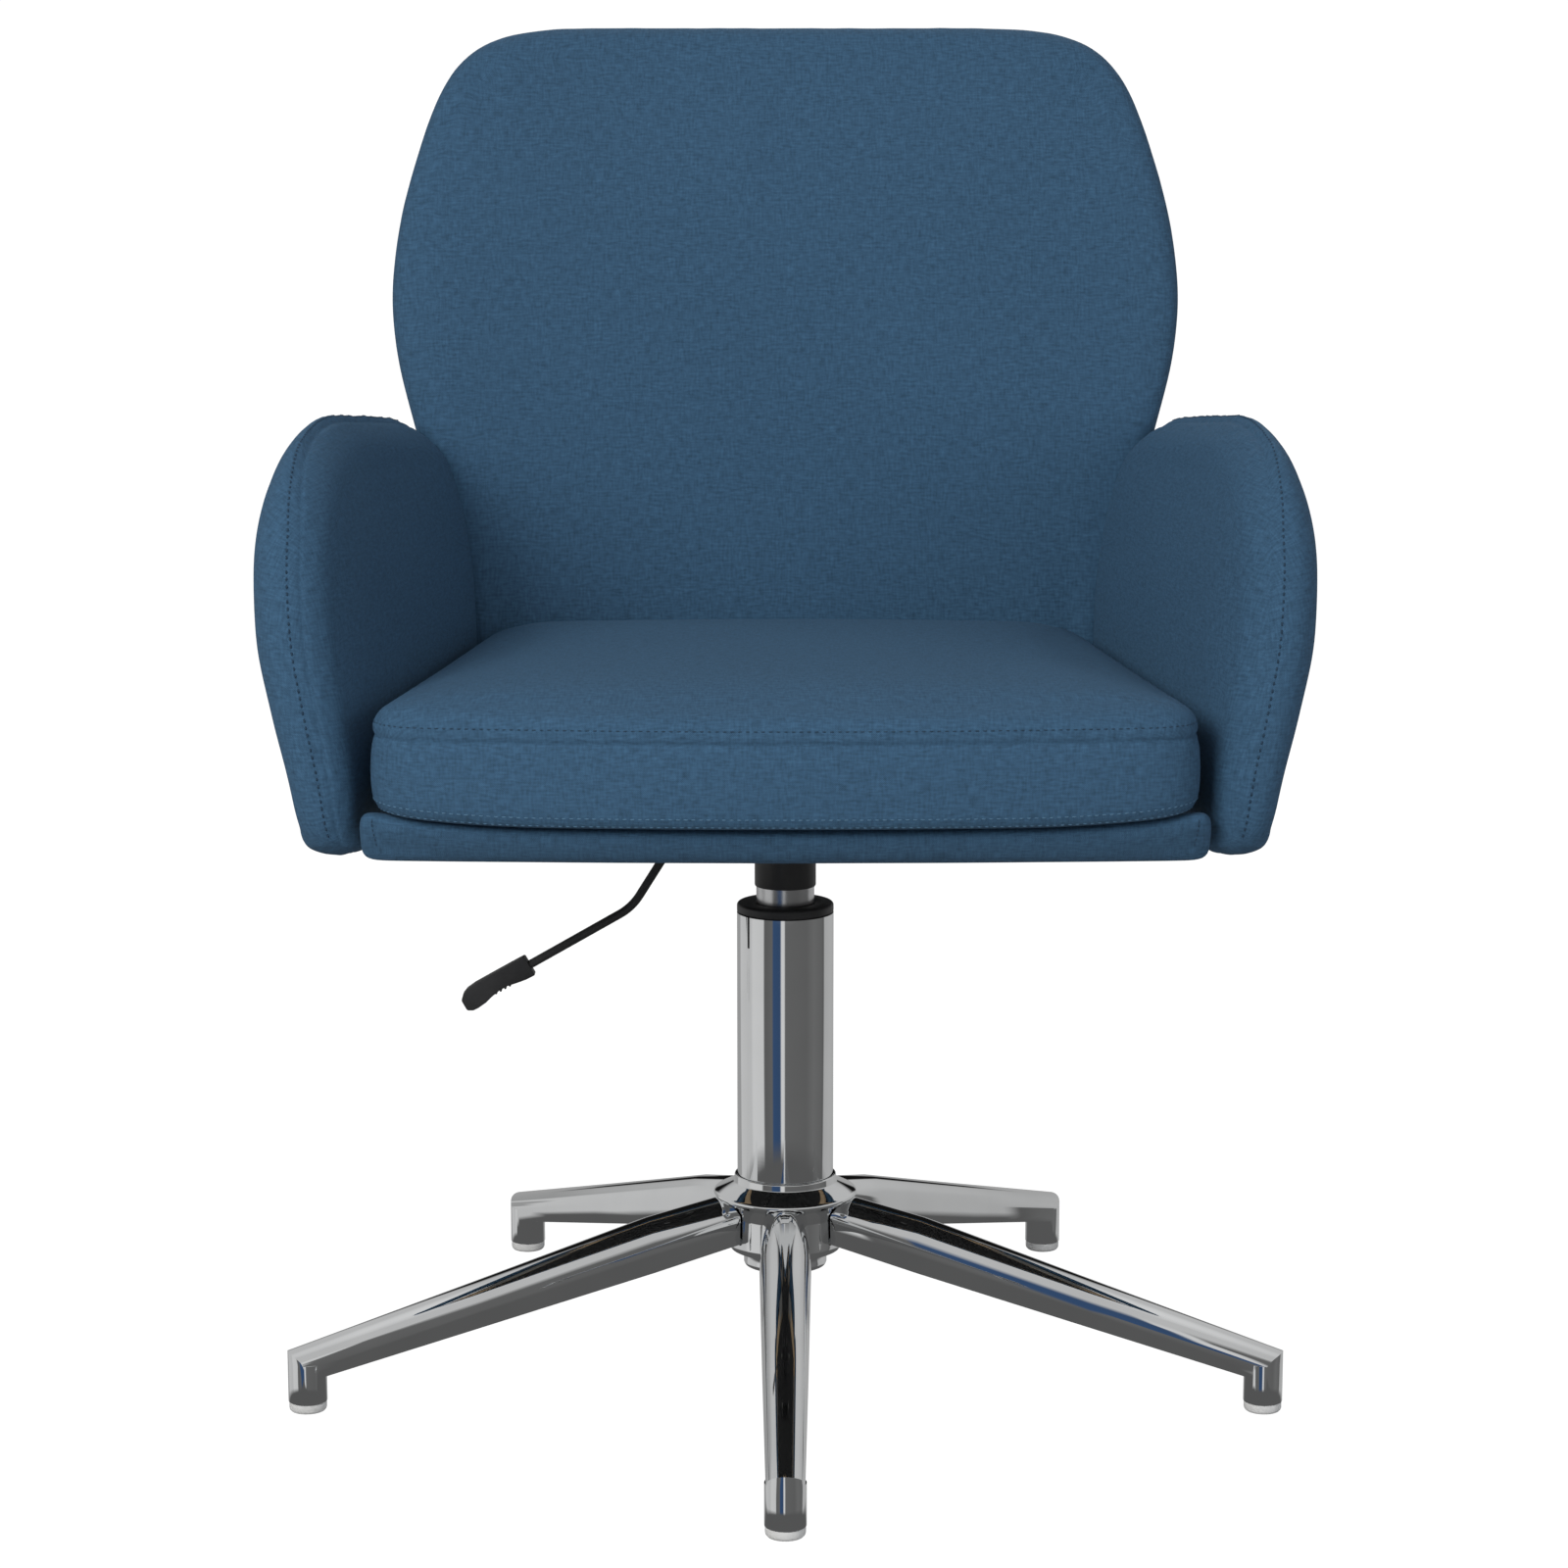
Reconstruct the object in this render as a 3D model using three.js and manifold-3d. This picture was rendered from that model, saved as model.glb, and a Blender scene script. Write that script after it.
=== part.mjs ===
// Swivel office chair with a fixed five-foot star base, a gas lift and an upholstered bucket seat.
// Millimetres, +Z up. The origin is on the floor, on the axis of the gas lift. The chair faces -Y.
import * as THREE from 'three';
import { mergeVertices } from 'three/addons/utils/BufferGeometryUtils.js';
import Module from 'manifold-3d';

const manifold = await Module();
manifold.setup();

// ---------------------------------------------------------------- driving dimensions

const GAP = 0.35; // clearance between pieces that touch

// star base
const LEG_COUNT = 5;
const FRONT_LEG_ANGLE = -Math.PI / 2;
const FOOT_CIRCLE = 305; // radius of the circle through the foot centres
const FOOT_RADIUS = 11.8;
const LEG_BOLT_RADII = [51, 79]; // distance of the two bolts of a leg from the column axis
const LEG_BOLT_RADIUS = 3;
const LEG_WALL = 2.6;
const STUB_LENGTH_END = 96; // the hub's arms end here, inside the legs

// glides
const GLIDE_HEIGHT = 6;
const GLIDE_RADIUS = 11.4;
const GLIDE_STEM_RADIUS = 8.8;
const GLIDE_STEM_TOP = 19;

// column
const TUBE_RADIUS = 30;
const TUBE_WALL = 2;
const TUBE_BOTTOM = 78.3;
const TUBE_TOP = 289.8;
const BUSH_RIM_TOP = 296;
const BUSH_BOTTOM = 216;
const SLOT_WIDTH = 1.8;
const SLOT_LENGTH = 20;
const SLOT_ANGLE = THREE.MathUtils.degToRad(-139); // the slot looks forward and to the left

// gas lift
const CYLINDER_RADIUS = 18;
const CYLINDER_BOTTOM = 100;
const CYLINDER_TOP = 345;
const ROD_RADIUS = 5;
const PIN_RADIUS = 4;
const SLEEVE_RADIUS = 19;
const SLEEVE_BOTTOM = 306.5;

// seat plate, under the seat
const PLATE_THICKNESS = 3;
const PLATE_LENGTH = 150; // front to back
const FLANGE_TOP = 370.2;
const FLANGE_HALF_WIDTH = 82;
const CHANNEL_HALF_WIDTH = 36;
const CHANNEL_BOTTOM = 338;
const PLATE_BOLT = { x: 62, y: 55, radius: 3 };

// release lever, in the plane Y = 0
const LEVER_RADIUS = 2.7;
const LEVER_HEIGHT = 354.7;
const LEVER_PIVOT_X = -34.5;

// seat
const BOARD_BOTTOM = 372;
const BOARD_TOP = 383.6;
const SEAT_FRONT = -205; // front edge of the seat board
const SEAT_REAR = 140;
const BOARD_HALF_WIDTH_FRONT = 226;
const BOARD_HALF_WIDTH_REAR = 196;
const CUSHION_TOP = 459.5;
const RAIL_BOTTOM = 361;

// ---------------------------------------------------------------- finishes

const finish = (color, roughness, metalness = 0) =>
  new THREE.MeshStandardMaterial({ color, roughness, metalness });

const FABRIC = finish(0x2f5579, 0.95);
const CHROME = finish(0xd8dade, 0.05, 1);
const SATIN_STEEL = finish(0xb9bbbd, 0.3, 1);
const BLACK_PAINT = finish(0x1c1c1c, 0.55);
const BLACK_PLASTIC = finish(0x262626, 0.5);
const PALE_PLASTIC = finish(0xc9cacb, 0.45);
const RUBBER = finish(0x1a1a1a, 0.85);
const WOOD = finish(0xc6a779, 0.75);
const DUST_CLOTH = finish(0x151515, 0.95);
const ZINC = finish(0xa9aaab, 0.4, 1);

// ---------------------------------------------------------------- helpers

/** Merges coincident vertices, drops collapsed triangles and turns the faces outwards. */
function closed(geometry) {
  const bare = geometry.clone();
  bare.deleteAttribute('normal');
  bare.deleteAttribute('uv');
  const merged = mergeVertices(bare, 1e-4);
  const position = merged.getAttribute('position');
  const corner = [new THREE.Vector3(), new THREE.Vector3(), new THREE.Vector3()];
  const kept = [];
  let volume = 0;
  for (let i = 0; i < merged.index.count; i += 3) {
    const ids = [0, 1, 2].map((k) => merged.index.getX(i + k));
    if (ids[0] === ids[1] || ids[1] === ids[2] || ids[2] === ids[0]) continue;
    ids.forEach((id, k) => corner[k].fromBufferAttribute(position, id));
    volume += corner[0].dot(corner[1].clone().cross(corner[2]));
    kept.push(ids);
  }
  merged.setIndex(kept.flatMap((ids) => (volume < 0 ? ids.reverse() : ids)));
  merged.computeVertexNormals();
  return merged;
}

const toSolid = (geometry) => {
  const { index, attributes } = closed(geometry);
  return new manifold.Manifold(
    new manifold.Mesh({
      numProp: 3,
      vertProperties: new Float32Array(attributes.position.array),
      triVerts: new Uint32Array(index.array),
    }),
  );
};

function toGeometry(solid) {
  const mesh = solid.getMesh();
  const geometry = new THREE.BufferGeometry();
  geometry.setAttribute('position', new THREE.Float32BufferAttribute(mesh.vertProperties, 3));
  geometry.setIndex([...mesh.triVerts]);
  geometry.computeVertexNormals();
  return geometry;
}

const cut = (body, ...tools) =>
  toGeometry(tools.reduce((solid, tool) => solid.subtract(toSolid(tool)), toSolid(body)));
const join = (...bodies) => toGeometry(bodies.map(toSolid).reduce((a, b) => a.add(b)));
const common = (a, b) => toGeometry(toSolid(a).intersect(toSolid(b)));

/** Solid of revolution about Z from [radius, height] pairs. A ring's profile is closed. */
function turned(profile, segments = 28) {
  const points = profile.map(([radius, height]) => new THREE.Vector2(radius, height));
  return new THREE.LatheGeometry(points, segments).rotateX(Math.PI / 2);
}

/** Ring between two radii and two heights. */
const washer = (inner, outer, bottom, top, segments = 20) =>
  turned([[inner, bottom], [outer, bottom], [outer, top], [inner, top], [inner, bottom]], segments);

/** Upright rod between two heights. */
const rod = (radius, bottom, top, segments = 12) =>
  new THREE.CylinderGeometry(radius, radius, top - bottom, segments)
    .rotateX(Math.PI / 2)
    .translate(0, 0, (bottom + top) / 2);

/** Plate cut from an outline in the XY plane. */
const plate = (shape, bottom, top) =>
  new THREE.ExtrudeGeometry(shape, { depth: top - bottom, bevelEnabled: false, curveSegments: 4 })
    .translate(0, 0, bottom);

/** Round hole in a shape. */
const hole = (x, y, radius) => new THREE.Path().absarc(x, y, radius, 0, Math.PI * 2, true);

/** Closed solid through a stack of rings that all have the same number of points. */
function loft(rings) {
  const count = rings[0].length;
  const points = rings.flat();
  const faces = [];
  for (let level = 0; level < rings.length - 1; level += 1) {
    for (let i = 0; i < count; i += 1) {
      const a = level * count + i;
      const b = level * count + ((i + 1) % count);
      faces.push(a, b, b + count, a, b + count, a + count);
    }
  }
  const capRing = (level, flip) => {
    const ring = rings[level];
    const centre = ring.reduce((sum, p) => sum.add(p), new THREE.Vector3()).divideScalar(count);
    const middle = points.push(centre) - 1;
    for (let i = 0; i < count; i += 1) {
      const a = level * count + i;
      const b = level * count + ((i + 1) % count);
      faces.push(middle, ...(flip ? [b, a] : [a, b]));
    }
  };
  capRing(0, true);
  capRing(rings.length - 1, false);
  const geometry = new THREE.BufferGeometry().setFromPoints(points);
  geometry.setIndex(faces);
  return closed(geometry);
}

/** Straight-line interpolation in a list of [input, output] pairs. */
function along(pairs, input) {
  const last = pairs.length - 1;
  if (input <= pairs[0][0]) return pairs[0][1];
  if (input >= pairs[last][0]) return pairs[last][1];
  const i = pairs.findIndex(([x]) => x > input);
  const [[x0, y0], [x1, y1]] = [pairs[i - 1], pairs[i]];
  return THREE.MathUtils.mapLinear(input, x0, x1, y0, y1);
}

/**
 * Level ring of an upright slab: two long sides at half a thickness from a centre line that bows
 * sideways between its ends, and round ends.
 */
function slabRing(start, end, half, bow, z, steps = 6, endSteps = 4) {
  const axis = end.clone().sub(start);
  const length = axis.length();
  axis.normalize();
  const side = new THREE.Vector2(axis.y, -axis.x);
  const point = (t, offset) => {
    const arc = bow * (1 - (2 * t - 1) ** 2);
    const p = start.clone().addScaledVector(axis, t * length).addScaledVector(side, arc + offset);
    return new THREE.Vector3(p.x, p.y, z);
  };
  const cap = (centre, from) =>
    Array.from({ length: endSteps - 1 }, (_, k) => {
      const angle = from + (Math.PI * (k + 1)) / endSteps;
      const p = centre.clone().addScaledVector(side, half * Math.cos(angle));
      p.addScaledVector(axis, half * Math.sin(angle));
      return new THREE.Vector3(p.x, p.y, z);
    });
  const stops = Array.from({ length: steps + 1 }, (_, k) => k / steps);
  return [
    ...stops.map((t) => point(t, half)),
    ...cap(end, 0),
    ...stops.map((t) => point(1 - t, -half)),
    ...cap(start, Math.PI),
  ];
}

function node(name, geometry, material, parent) {
  const mesh = new THREE.Mesh(geometry, material);
  mesh.name = name;
  parent.add(mesh);
  return mesh;
}

const chair = new THREE.Group();

// ---------------------------------------------------------------- star base

const LEG_NAMES = ['front', 'front_right', 'rear_right', 'rear_left', 'front_left'];

// The leg's section along its length, by distance from the column axis.
const LEG_HALF_WIDTH = [[28, 15.2], [90, 17], [200, 14.6], [FOOT_CIRCLE, FOOT_RADIUS + 0.1]];
const LEG_TOP = [[28, 113.8], [90, 101.2], [200, 70.3], [325, 35.6]];
const legTop = (r) => along(LEG_TOP, r);
const legBottom = (r) => THREE.MathUtils.mapLinear(r, 34, 325, 82.6, 16.6);
const LEG_SLOPE = Math.atan2(legBottom(0) - legBottom(100), 100);

/** Arched bar along +X: flat below, sides leaning in, round on top, shrunk all round by inset. */
function archedBar(from, to, inset) {
  const stations = [from, 90, 200, to].filter((r) => r >= from && r <= to);
  const rings = [...new Set(stations)].map((r) => {
    const half = along(LEG_HALF_WIDTH, r) - inset;
    const bottom = legBottom(r) + inset;
    const top = legTop(r) - inset;
    const springing = bottom + 0.45 * (top - bottom);
    const arch = Array.from({ length: 9 }, (_, k) => {
      const angle = (Math.PI * k) / 8;
      const lift = (top - springing) * Math.sin(angle);
      return new THREE.Vector3(r, half * Math.cos(angle), springing + lift);
    });
    const footHalf = half * 0.86; // the sides lean in towards the underside
    const foot = [-1, 1].flatMap((s) => {
      const edge = [new THREE.Vector3(r, s * footHalf, bottom + 2),
        new THREE.Vector3(r, s * (footHalf - 2), bottom)];
      return s < 0 ? edge : edge.reverse();
    });
    return [...arch, ...foot];
  });
  return loft(rings);
}

/** Cylinder square to the leg's underside, for a bolt hole at distance r. */
const legBoltHole = (r, radius) =>
  rod(radius, -6, 16, 8).rotateY(LEG_SLOPE).translate(r, 0, legBottom(r));

// Hub: cast ring with a boss below, a flange on top and five arms that plug into the legs.
const HUB_BORE = TUBE_RADIUS + GAP;
const HUB_OUTSIDE = [
  [22, 64], [24.8, 64.6], [26, 66.4], [26, 74.6], [33, 74.6], [35, 76.4], [35.5, 79], [35.5, 98],
  [36.6, 103], [39.6, 107], [44.2, 109.6], [45, 111], [44.4, 112.4], [32.2, 118.4], [31.8, 119.2],
  [31.8, 122.4], [31, 123.2],
];
const HUB_INSIDE = [[HUB_BORE, 123.2], [HUB_BORE, 78], [22, 78], [22, 64]];
const hubRing = () => turned([...HUB_OUTSIDE, ...HUB_INSIDE], 32);
const hubClearance = () =>
  turned([[0, 60], ...HUB_OUTSIDE.map(([r, z]) => [r + 0.8, z]), [0, 123.2]], 32);

const legAngles = LEG_NAMES.map((_, i) => FRONT_LEG_ANGLE + (i * 2 * Math.PI) / LEG_COUNT);

function hub() {
  const stub = cut(archedBar(33, STUB_LENGTH_END, LEG_WALL + GAP),
    ...LEG_BOLT_RADII.map((r) => legBoltHole(r, LEG_BOLT_RADIUS + GAP)));
  return join(hubRing(), ...legAngles.map((angle) => stub.clone().rotateZ(angle)));
}

function leg() {
  const plan = new THREE.Shape();
  plan.moveTo(30, -25).lineTo(FOOT_CIRCLE, -25).lineTo(FOOT_CIRCLE, -FOOT_RADIUS);
  plan.absarc(FOOT_CIRCLE, 0, FOOT_RADIUS, -Math.PI / 2, Math.PI / 2);
  plan.lineTo(FOOT_CIRCLE, 25).lineTo(30, 25);
  const bar = common(archedBar(34, 325, 0), plate(plan, 0, 130));
  const foot = rod(FOOT_RADIUS, GLIDE_HEIGHT + GAP, 31, 20).translate(FOOT_CIRCLE, 0, 0);
  const socket = rod(GLIDE_STEM_RADIUS + GAP, 0, GLIDE_STEM_TOP + 1, 16).translate(FOOT_CIRCLE, 0, 0);
  const pocket = archedBar(30, STUB_LENGTH_END + 4, LEG_WALL);
  const holes = LEG_BOLT_RADII.map((r) => legBoltHole(r, LEG_BOLT_RADIUS + GAP));
  return cut(join(bar, foot), socket, pocket, hubClearance(), ...holes);
}

/** Dome-headed bolt pointing up, its head under height 0. */
const legBolt = () =>
  turned([[0, -3.2], [2.6, -2.9], [4.6, -1.6], [5.4, -GAP], [LEG_BOLT_RADIUS, -GAP],
    [LEG_BOLT_RADIUS, 14], [0, 14]], 8);

const glide = () =>
  turned([[0, 0], [9.8, 0], [10.9, 0.9], [GLIDE_RADIUS, 2.2], [GLIDE_RADIUS, GLIDE_HEIGHT],
    [GLIDE_STEM_RADIUS, GLIDE_HEIGHT], [GLIDE_STEM_RADIUS, GLIDE_STEM_TOP], [0, GLIDE_STEM_TOP]], 16);

const base = new THREE.Group();
chair.add(base);
node('hub', hub(), CHROME, base);
const legGeometry = leg();
LEG_NAMES.forEach((name, i) => {
  const arm = new THREE.Group();
  arm.rotation.z = legAngles[i];
  base.add(arm);
  node(`leg_${name}`, legGeometry, CHROME, arm);
  node(`glide_${name}`, glide(), PALE_PLASTIC, arm).position.x = FOOT_CIRCLE;
  LEG_BOLT_RADII.forEach((r, k) => {
    const bolt = node(`leg_bolt_${name}_${k + 1}`, legBolt(), ZINC, arm);
    bolt.position.set(r, 0, legBottom(r));
    bolt.rotation.y = LEG_SLOPE;
  });
});

// ---------------------------------------------------------------- column

const tubeInside = TUBE_RADIUS - TUBE_WALL;

function columnTube() {
  const slotRound = rod(SLOT_WIDTH / 2, -TUBE_WALL * 2, TUBE_WALL * 2, 12).rotateY(Math.PI / 2);
  const slotBox = new THREE.BoxGeometry(TUBE_WALL * 4, SLOT_WIDTH, SLOT_LENGTH)
    .translate(0, 0, SLOT_LENGTH / 2);
  const slot = join(slotRound, slotBox)
    .translate(TUBE_RADIUS - TUBE_WALL / 2, 0, TUBE_TOP - SLOT_LENGTH + 0.5)
    .rotateZ(SLOT_ANGLE);
  return cut(washer(tubeInside, TUBE_RADIUS, TUBE_BOTTOM, TUBE_TOP, 32), slot);
}

node('column_tube', columnTube(), CHROME, base);

const bushBore = CYLINDER_RADIUS + GAP;
node('guide_bush', turned([
  [bushBore, BUSH_BOTTOM], [tubeInside - GAP, BUSH_BOTTOM], [tubeInside - GAP, TUBE_TOP + GAP],
  [TUBE_RADIUS - 0.6, TUBE_TOP + GAP], [TUBE_RADIUS, TUBE_TOP + 1], [TUBE_RADIUS, BUSH_RIM_TOP - 1],
  [TUBE_RADIUS - 1, BUSH_RIM_TOP], [bushBore, BUSH_RIM_TOP], [bushBore, BUSH_BOTTOM],
], 28), BLACK_PLASTIC, base);

const BOTTOM_PLATE_TOP = TUBE_BOTTOM + 5;
node('column_bottom_plate', washer(ROD_RADIUS + 1, tubeInside - GAP, TUBE_BOTTOM, BOTTOM_PLATE_TOP),
  ZINC, base);

// Thrust bearing: race, ball cage, race.
const RACE = { inner: 6.4, outer: 14, thickness: 1.5 };
const lowerRaceBottom = BOTTOM_PLATE_TOP + GAP;
const cageBottom = lowerRaceBottom + RACE.thickness + GAP;
const upperRaceBottom = cageBottom + 3 + GAP;
const upperRaceTop = upperRaceBottom + RACE.thickness;
node('bearing_race_lower', washer(RACE.inner, RACE.outer, lowerRaceBottom,
  lowerRaceBottom + RACE.thickness), SATIN_STEEL, base);
node('bearing_ball_cage', washer(RACE.inner + 1, RACE.outer - 1, cageBottom, cageBottom + 3),
  SATIN_STEEL, base);

// ---------------------------------------------------------------- what swivels

const swivel = new THREE.Group();
chair.add(swivel);

const SHOULDER_RADIUS = 7.6;
const CLIP_GROOVE = { radius: 4, bottom: 76, top: 78 };
const PISTON = { radius: 15.6, bottom: 282, top: 294 };
const rodShoulderBottom = upperRaceTop + GAP;
node('piston_rod', turned([
  [0, 68], [ROD_RADIUS - 1, 68], [ROD_RADIUS, 69], [ROD_RADIUS, CLIP_GROOVE.bottom],
  [CLIP_GROOVE.radius, CLIP_GROOVE.bottom], [CLIP_GROOVE.radius, CLIP_GROOVE.top],
  [ROD_RADIUS, CLIP_GROOVE.top], [ROD_RADIUS, rodShoulderBottom],
  [SHOULDER_RADIUS, rodShoulderBottom], [SHOULDER_RADIUS, rodShoulderBottom + 4],
  [ROD_RADIUS, rodShoulderBottom + 5], [ROD_RADIUS, PISTON.bottom],
  [PISTON.radius, PISTON.bottom], [PISTON.radius, PISTON.top], [0, PISTON.top],
], 20), SATIN_STEEL, swivel);
node('bearing_race_upper', washer(RACE.inner, RACE.outer, upperRaceBottom, upperRaceTop),
  SATIN_STEEL, swivel);
node('rubber_bumper', washer(SHOULDER_RADIUS + GAP, 16, rodShoulderBottom, rodShoulderBottom + 7),
  RUBBER, swivel);
node('retaining_clip', washer(CLIP_GROOVE.radius + GAP, 9, CLIP_GROOVE.bottom + GAP,
  CLIP_GROOVE.top - GAP, 16), ZINC, swivel);

// ---------------------------------------------------------------- what the gas lift raises

const seat = new THREE.Group();
chair.add(seat);

const TAPER = 1.4; // the cylinder's top is this much smaller in radius than its body
const CAVITY = { radius: 16, bottom: CYLINDER_BOTTOM + 4, top: CYLINDER_TOP - 7 };
node('gas_cylinder', turned([
  [ROD_RADIUS + GAP, CYLINDER_BOTTOM], [CYLINDER_RADIUS - 1.5, CYLINDER_BOTTOM],
  [CYLINDER_RADIUS, CYLINDER_BOTTOM + 1.5], [CYLINDER_RADIUS, SLEEVE_BOTTOM],
  [CYLINDER_RADIUS - TAPER, CYLINDER_TOP], [PIN_RADIUS + GAP, CYLINDER_TOP],
  [PIN_RADIUS + GAP, CAVITY.top], [CAVITY.radius - 1, CAVITY.top], [CAVITY.radius - 1, SLEEVE_BOTTOM],
  [CAVITY.radius, SLEEVE_BOTTOM - 10], [CAVITY.radius, CAVITY.bottom],
  [ROD_RADIUS + GAP, CAVITY.bottom], [ROD_RADIUS + GAP, CYLINDER_BOTTOM],
], 24), SATIN_STEEL, seat);

const SLEEVE_TOP = 346;
node('socket_sleeve', turned([
  [CYLINDER_RADIUS + GAP, SLEEVE_BOTTOM], [SLEEVE_RADIUS - 0.3, SLEEVE_BOTTOM],
  [SLEEVE_RADIUS, SLEEVE_BOTTOM + 1], [SLEEVE_RADIUS, SLEEVE_TOP],
  [CYLINDER_RADIUS - TAPER + GAP, SLEEVE_TOP], [CYLINDER_RADIUS + GAP, SLEEVE_BOTTOM],
], 24), BLACK_PAINT, seat);

/** Pressed hat section along Y: two flanges against the seat and a channel between them. */
function seatPlate() {
  const t = PLATE_THICKNESS;
  const half = [
    [FLANGE_HALF_WIDTH, FLANGE_TOP - t], [FLANGE_HALF_WIDTH, FLANGE_TOP],
    [CHANNEL_HALF_WIDTH - t, FLANGE_TOP], [CHANNEL_HALF_WIDTH - t, CHANNEL_BOTTOM + t],
  ];
  const under = [[CHANNEL_HALF_WIDTH, CHANNEL_BOTTOM], [CHANNEL_HALF_WIDTH, FLANGE_TOP - t]];
  const mirrored = (points) => points.map(([x, z]) => [-x, z]).reverse();
  const outline = [...under, ...half, ...mirrored(half), ...mirrored(under)];
  const shape = new THREE.Shape(outline.map(([x, z]) => new THREE.Vector2(x, z)));
  const hat = new THREE.ExtrudeGeometry(shape, { depth: PLATE_LENGTH, bevelEnabled: false })
    .rotateX(Math.PI / 2)
    .translate(0, PLATE_LENGTH / 2, 0);
  const socket = rod(SLEEVE_RADIUS + GAP, CHANNEL_BOTTOM - 5, CHANNEL_BOTTOM + 10, 24);
  const leverHole = rod(6 + GAP, -10, 10, 16).rotateY(Math.PI / 2)
    .translate(-CHANNEL_HALF_WIDTH, 0, LEVER_HEIGHT);
  const bolts = plateBoltPlaces().map(([x, y]) =>
    rod(PLATE_BOLT.radius + GAP, FLANGE_TOP - 10, FLANGE_TOP + 10, 8).translate(x, y, 0));
  return cut(hat, socket, leverHole, ...bolts);
}

const plateBoltPlaces = () =>
  [[-1, -1], [1, -1], [1, 1], [-1, 1]].map(([sx, sy]) => [sx * PLATE_BOLT.x, sy * PLATE_BOLT.y]);

/** Hexagon bolt pointing up, its head under height 0. */
function hexBolt(length) {
  const head = new THREE.CylinderGeometry(5.6, 5.6, 4, 6).rotateX(Math.PI / 2).translate(0, 0, -2 - GAP);
  return join(head, rod(PLATE_BOLT.radius, -1, length, 8));
}

node('seat_plate', seatPlate(), BLACK_PAINT, seat);
plateBoltPlaces().forEach(([x, y], i) => {
  node(`plate_bolt_${i + 1}`, hexBolt(15), ZINC, seat).position.set(x, y, FLANGE_TOP - PLATE_THICKNESS);
});

node('lever_bush', washer(3.75, 6, -3.5, 3.5, 16).rotateY(Math.PI / 2)
  .translate(LEVER_PIVOT_X, 0, LEVER_HEIGHT), BLACK_PLASTIC, seat);

// ---------------------------------------------------------------- seat

/** Half the seat board's width at a given depth. */
const boardHalfWidth = (y) =>
  THREE.MathUtils.mapLinear(y, SEAT_FRONT, SEAT_REAR, BOARD_HALF_WIDTH_FRONT, BOARD_HALF_WIDTH_REAR);
const BOARD_SLANT = Math.atan2(BOARD_HALF_WIDTH_FRONT - BOARD_HALF_WIDTH_REAR, SEAT_REAR - SEAT_FRONT);

function trapezoid(front, rear, inset) {
  const corners = [
    [-boardHalfWidth(front) + inset, front], [boardHalfWidth(front) - inset, front],
    [boardHalfWidth(rear) - inset, rear], [-boardHalfWidth(rear) + inset, rear],
  ];
  return new THREE.Shape(corners.map(([x, y]) => new THREE.Vector2(x, y)));
}

// Angle brackets hold the arms and the back to the board; two bolts each.
const BRACKET = { top: BOARD_BOTTOM - GAP, thickness: 3, legIn: 26, legUp: 11, armLength: 220, backLength: 200 };
const bracketMiddleY = (SEAT_FRONT + SEAT_REAR) / 2;
const ARM_BOLT_SPACING = 80;
const armBoltPlaces = [-1, 1].flatMap((side) => [-1, 1].map((end) => {
  const y = bracketMiddleY + end * ARM_BOLT_SPACING;
  return [side * (boardHalfWidth(y) - 14), y];
}));
const backBoltPlaces = [-1, 1].map((side) => [side * 70, SEAT_REAR - 14]);

const board = trapezoid(SEAT_FRONT, SEAT_REAR, 0);
const boardHoles = [...plateBoltPlaces(), ...armBoltPlaces, ...backBoltPlaces];
board.holes = boardHoles.map(([x, y]) => hole(x, y, PLATE_BOLT.radius + GAP));
node('seat_board', plate(board, BOARD_BOTTOM, BOARD_TOP), WOOD, seat);

const cover = trapezoid(SEAT_FRONT + 6, SEAT_REAR - BRACKET.legIn - 4, BRACKET.legIn + 3);
cover.holes = plateBoltPlaces().map(([x, y]) => hole(x, y, PLATE_BOLT.radius + GAP));
node('dust_cover', plate(cover, BOARD_BOTTOM - 1.4, BOARD_BOTTOM - 0.4), DUST_CLOTH, seat);

/** Angle section along Y, its inside corner at the origin, one leg towards -X, one leg up. */
function angleBracket(length) {
  const { thickness: t, legIn, legUp } = BRACKET;
  const outline = [[-legIn, -t], [GAP + t, -t], [GAP + t, legUp], [GAP, legUp], [GAP, 0], [-legIn, 0]];
  const shape = new THREE.Shape(outline.map(([x, z]) => new THREE.Vector2(x, z)));
  return new THREE.ExtrudeGeometry(shape, { depth: length, bevelEnabled: false })
    .rotateX(Math.PI / 2)
    .translate(0, length / 2, 0);
}

const placedBracket = (length, angle, x, y) =>
  angleBracket(length).rotateZ(angle).translate(x, y, BRACKET.top);
const drilled = (geometry, places) => cut(geometry, ...places.map(([x, y]) =>
  rod(PLATE_BOLT.radius + GAP, BRACKET.top - 8, BRACKET.top + 8, 8).translate(x, y, 0)));

const middleHalfWidth = boardHalfWidth(bracketMiddleY);
node('arm_bracket_right', drilled(placedBracket(BRACKET.armLength, BOARD_SLANT, middleHalfWidth,
  bracketMiddleY), armBoltPlaces.slice(2)), ZINC, seat);
node('arm_bracket_left', drilled(placedBracket(BRACKET.armLength, Math.PI - BOARD_SLANT,
  -middleHalfWidth, bracketMiddleY), armBoltPlaces.slice(0, 2)), ZINC, seat);
node('back_bracket', drilled(placedBracket(BRACKET.backLength, Math.PI / 2, 0, SEAT_REAR),
  backBoltPlaces), ZINC, seat);
const bracketBoltHeight = BRACKET.top - BRACKET.thickness;
armBoltPlaces.forEach(([x, y], i) => {
  node(`arm_bolt_${i + 1}`, hexBolt(14), ZINC, seat).position.set(x, y, bracketBoltHeight);
});
backBoltPlaces.forEach(([x, y], i) => {
  node(`back_bolt_${i + 1}`, hexBolt(14), ZINC, seat).position.set(x, y, bracketBoltHeight);
});

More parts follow.
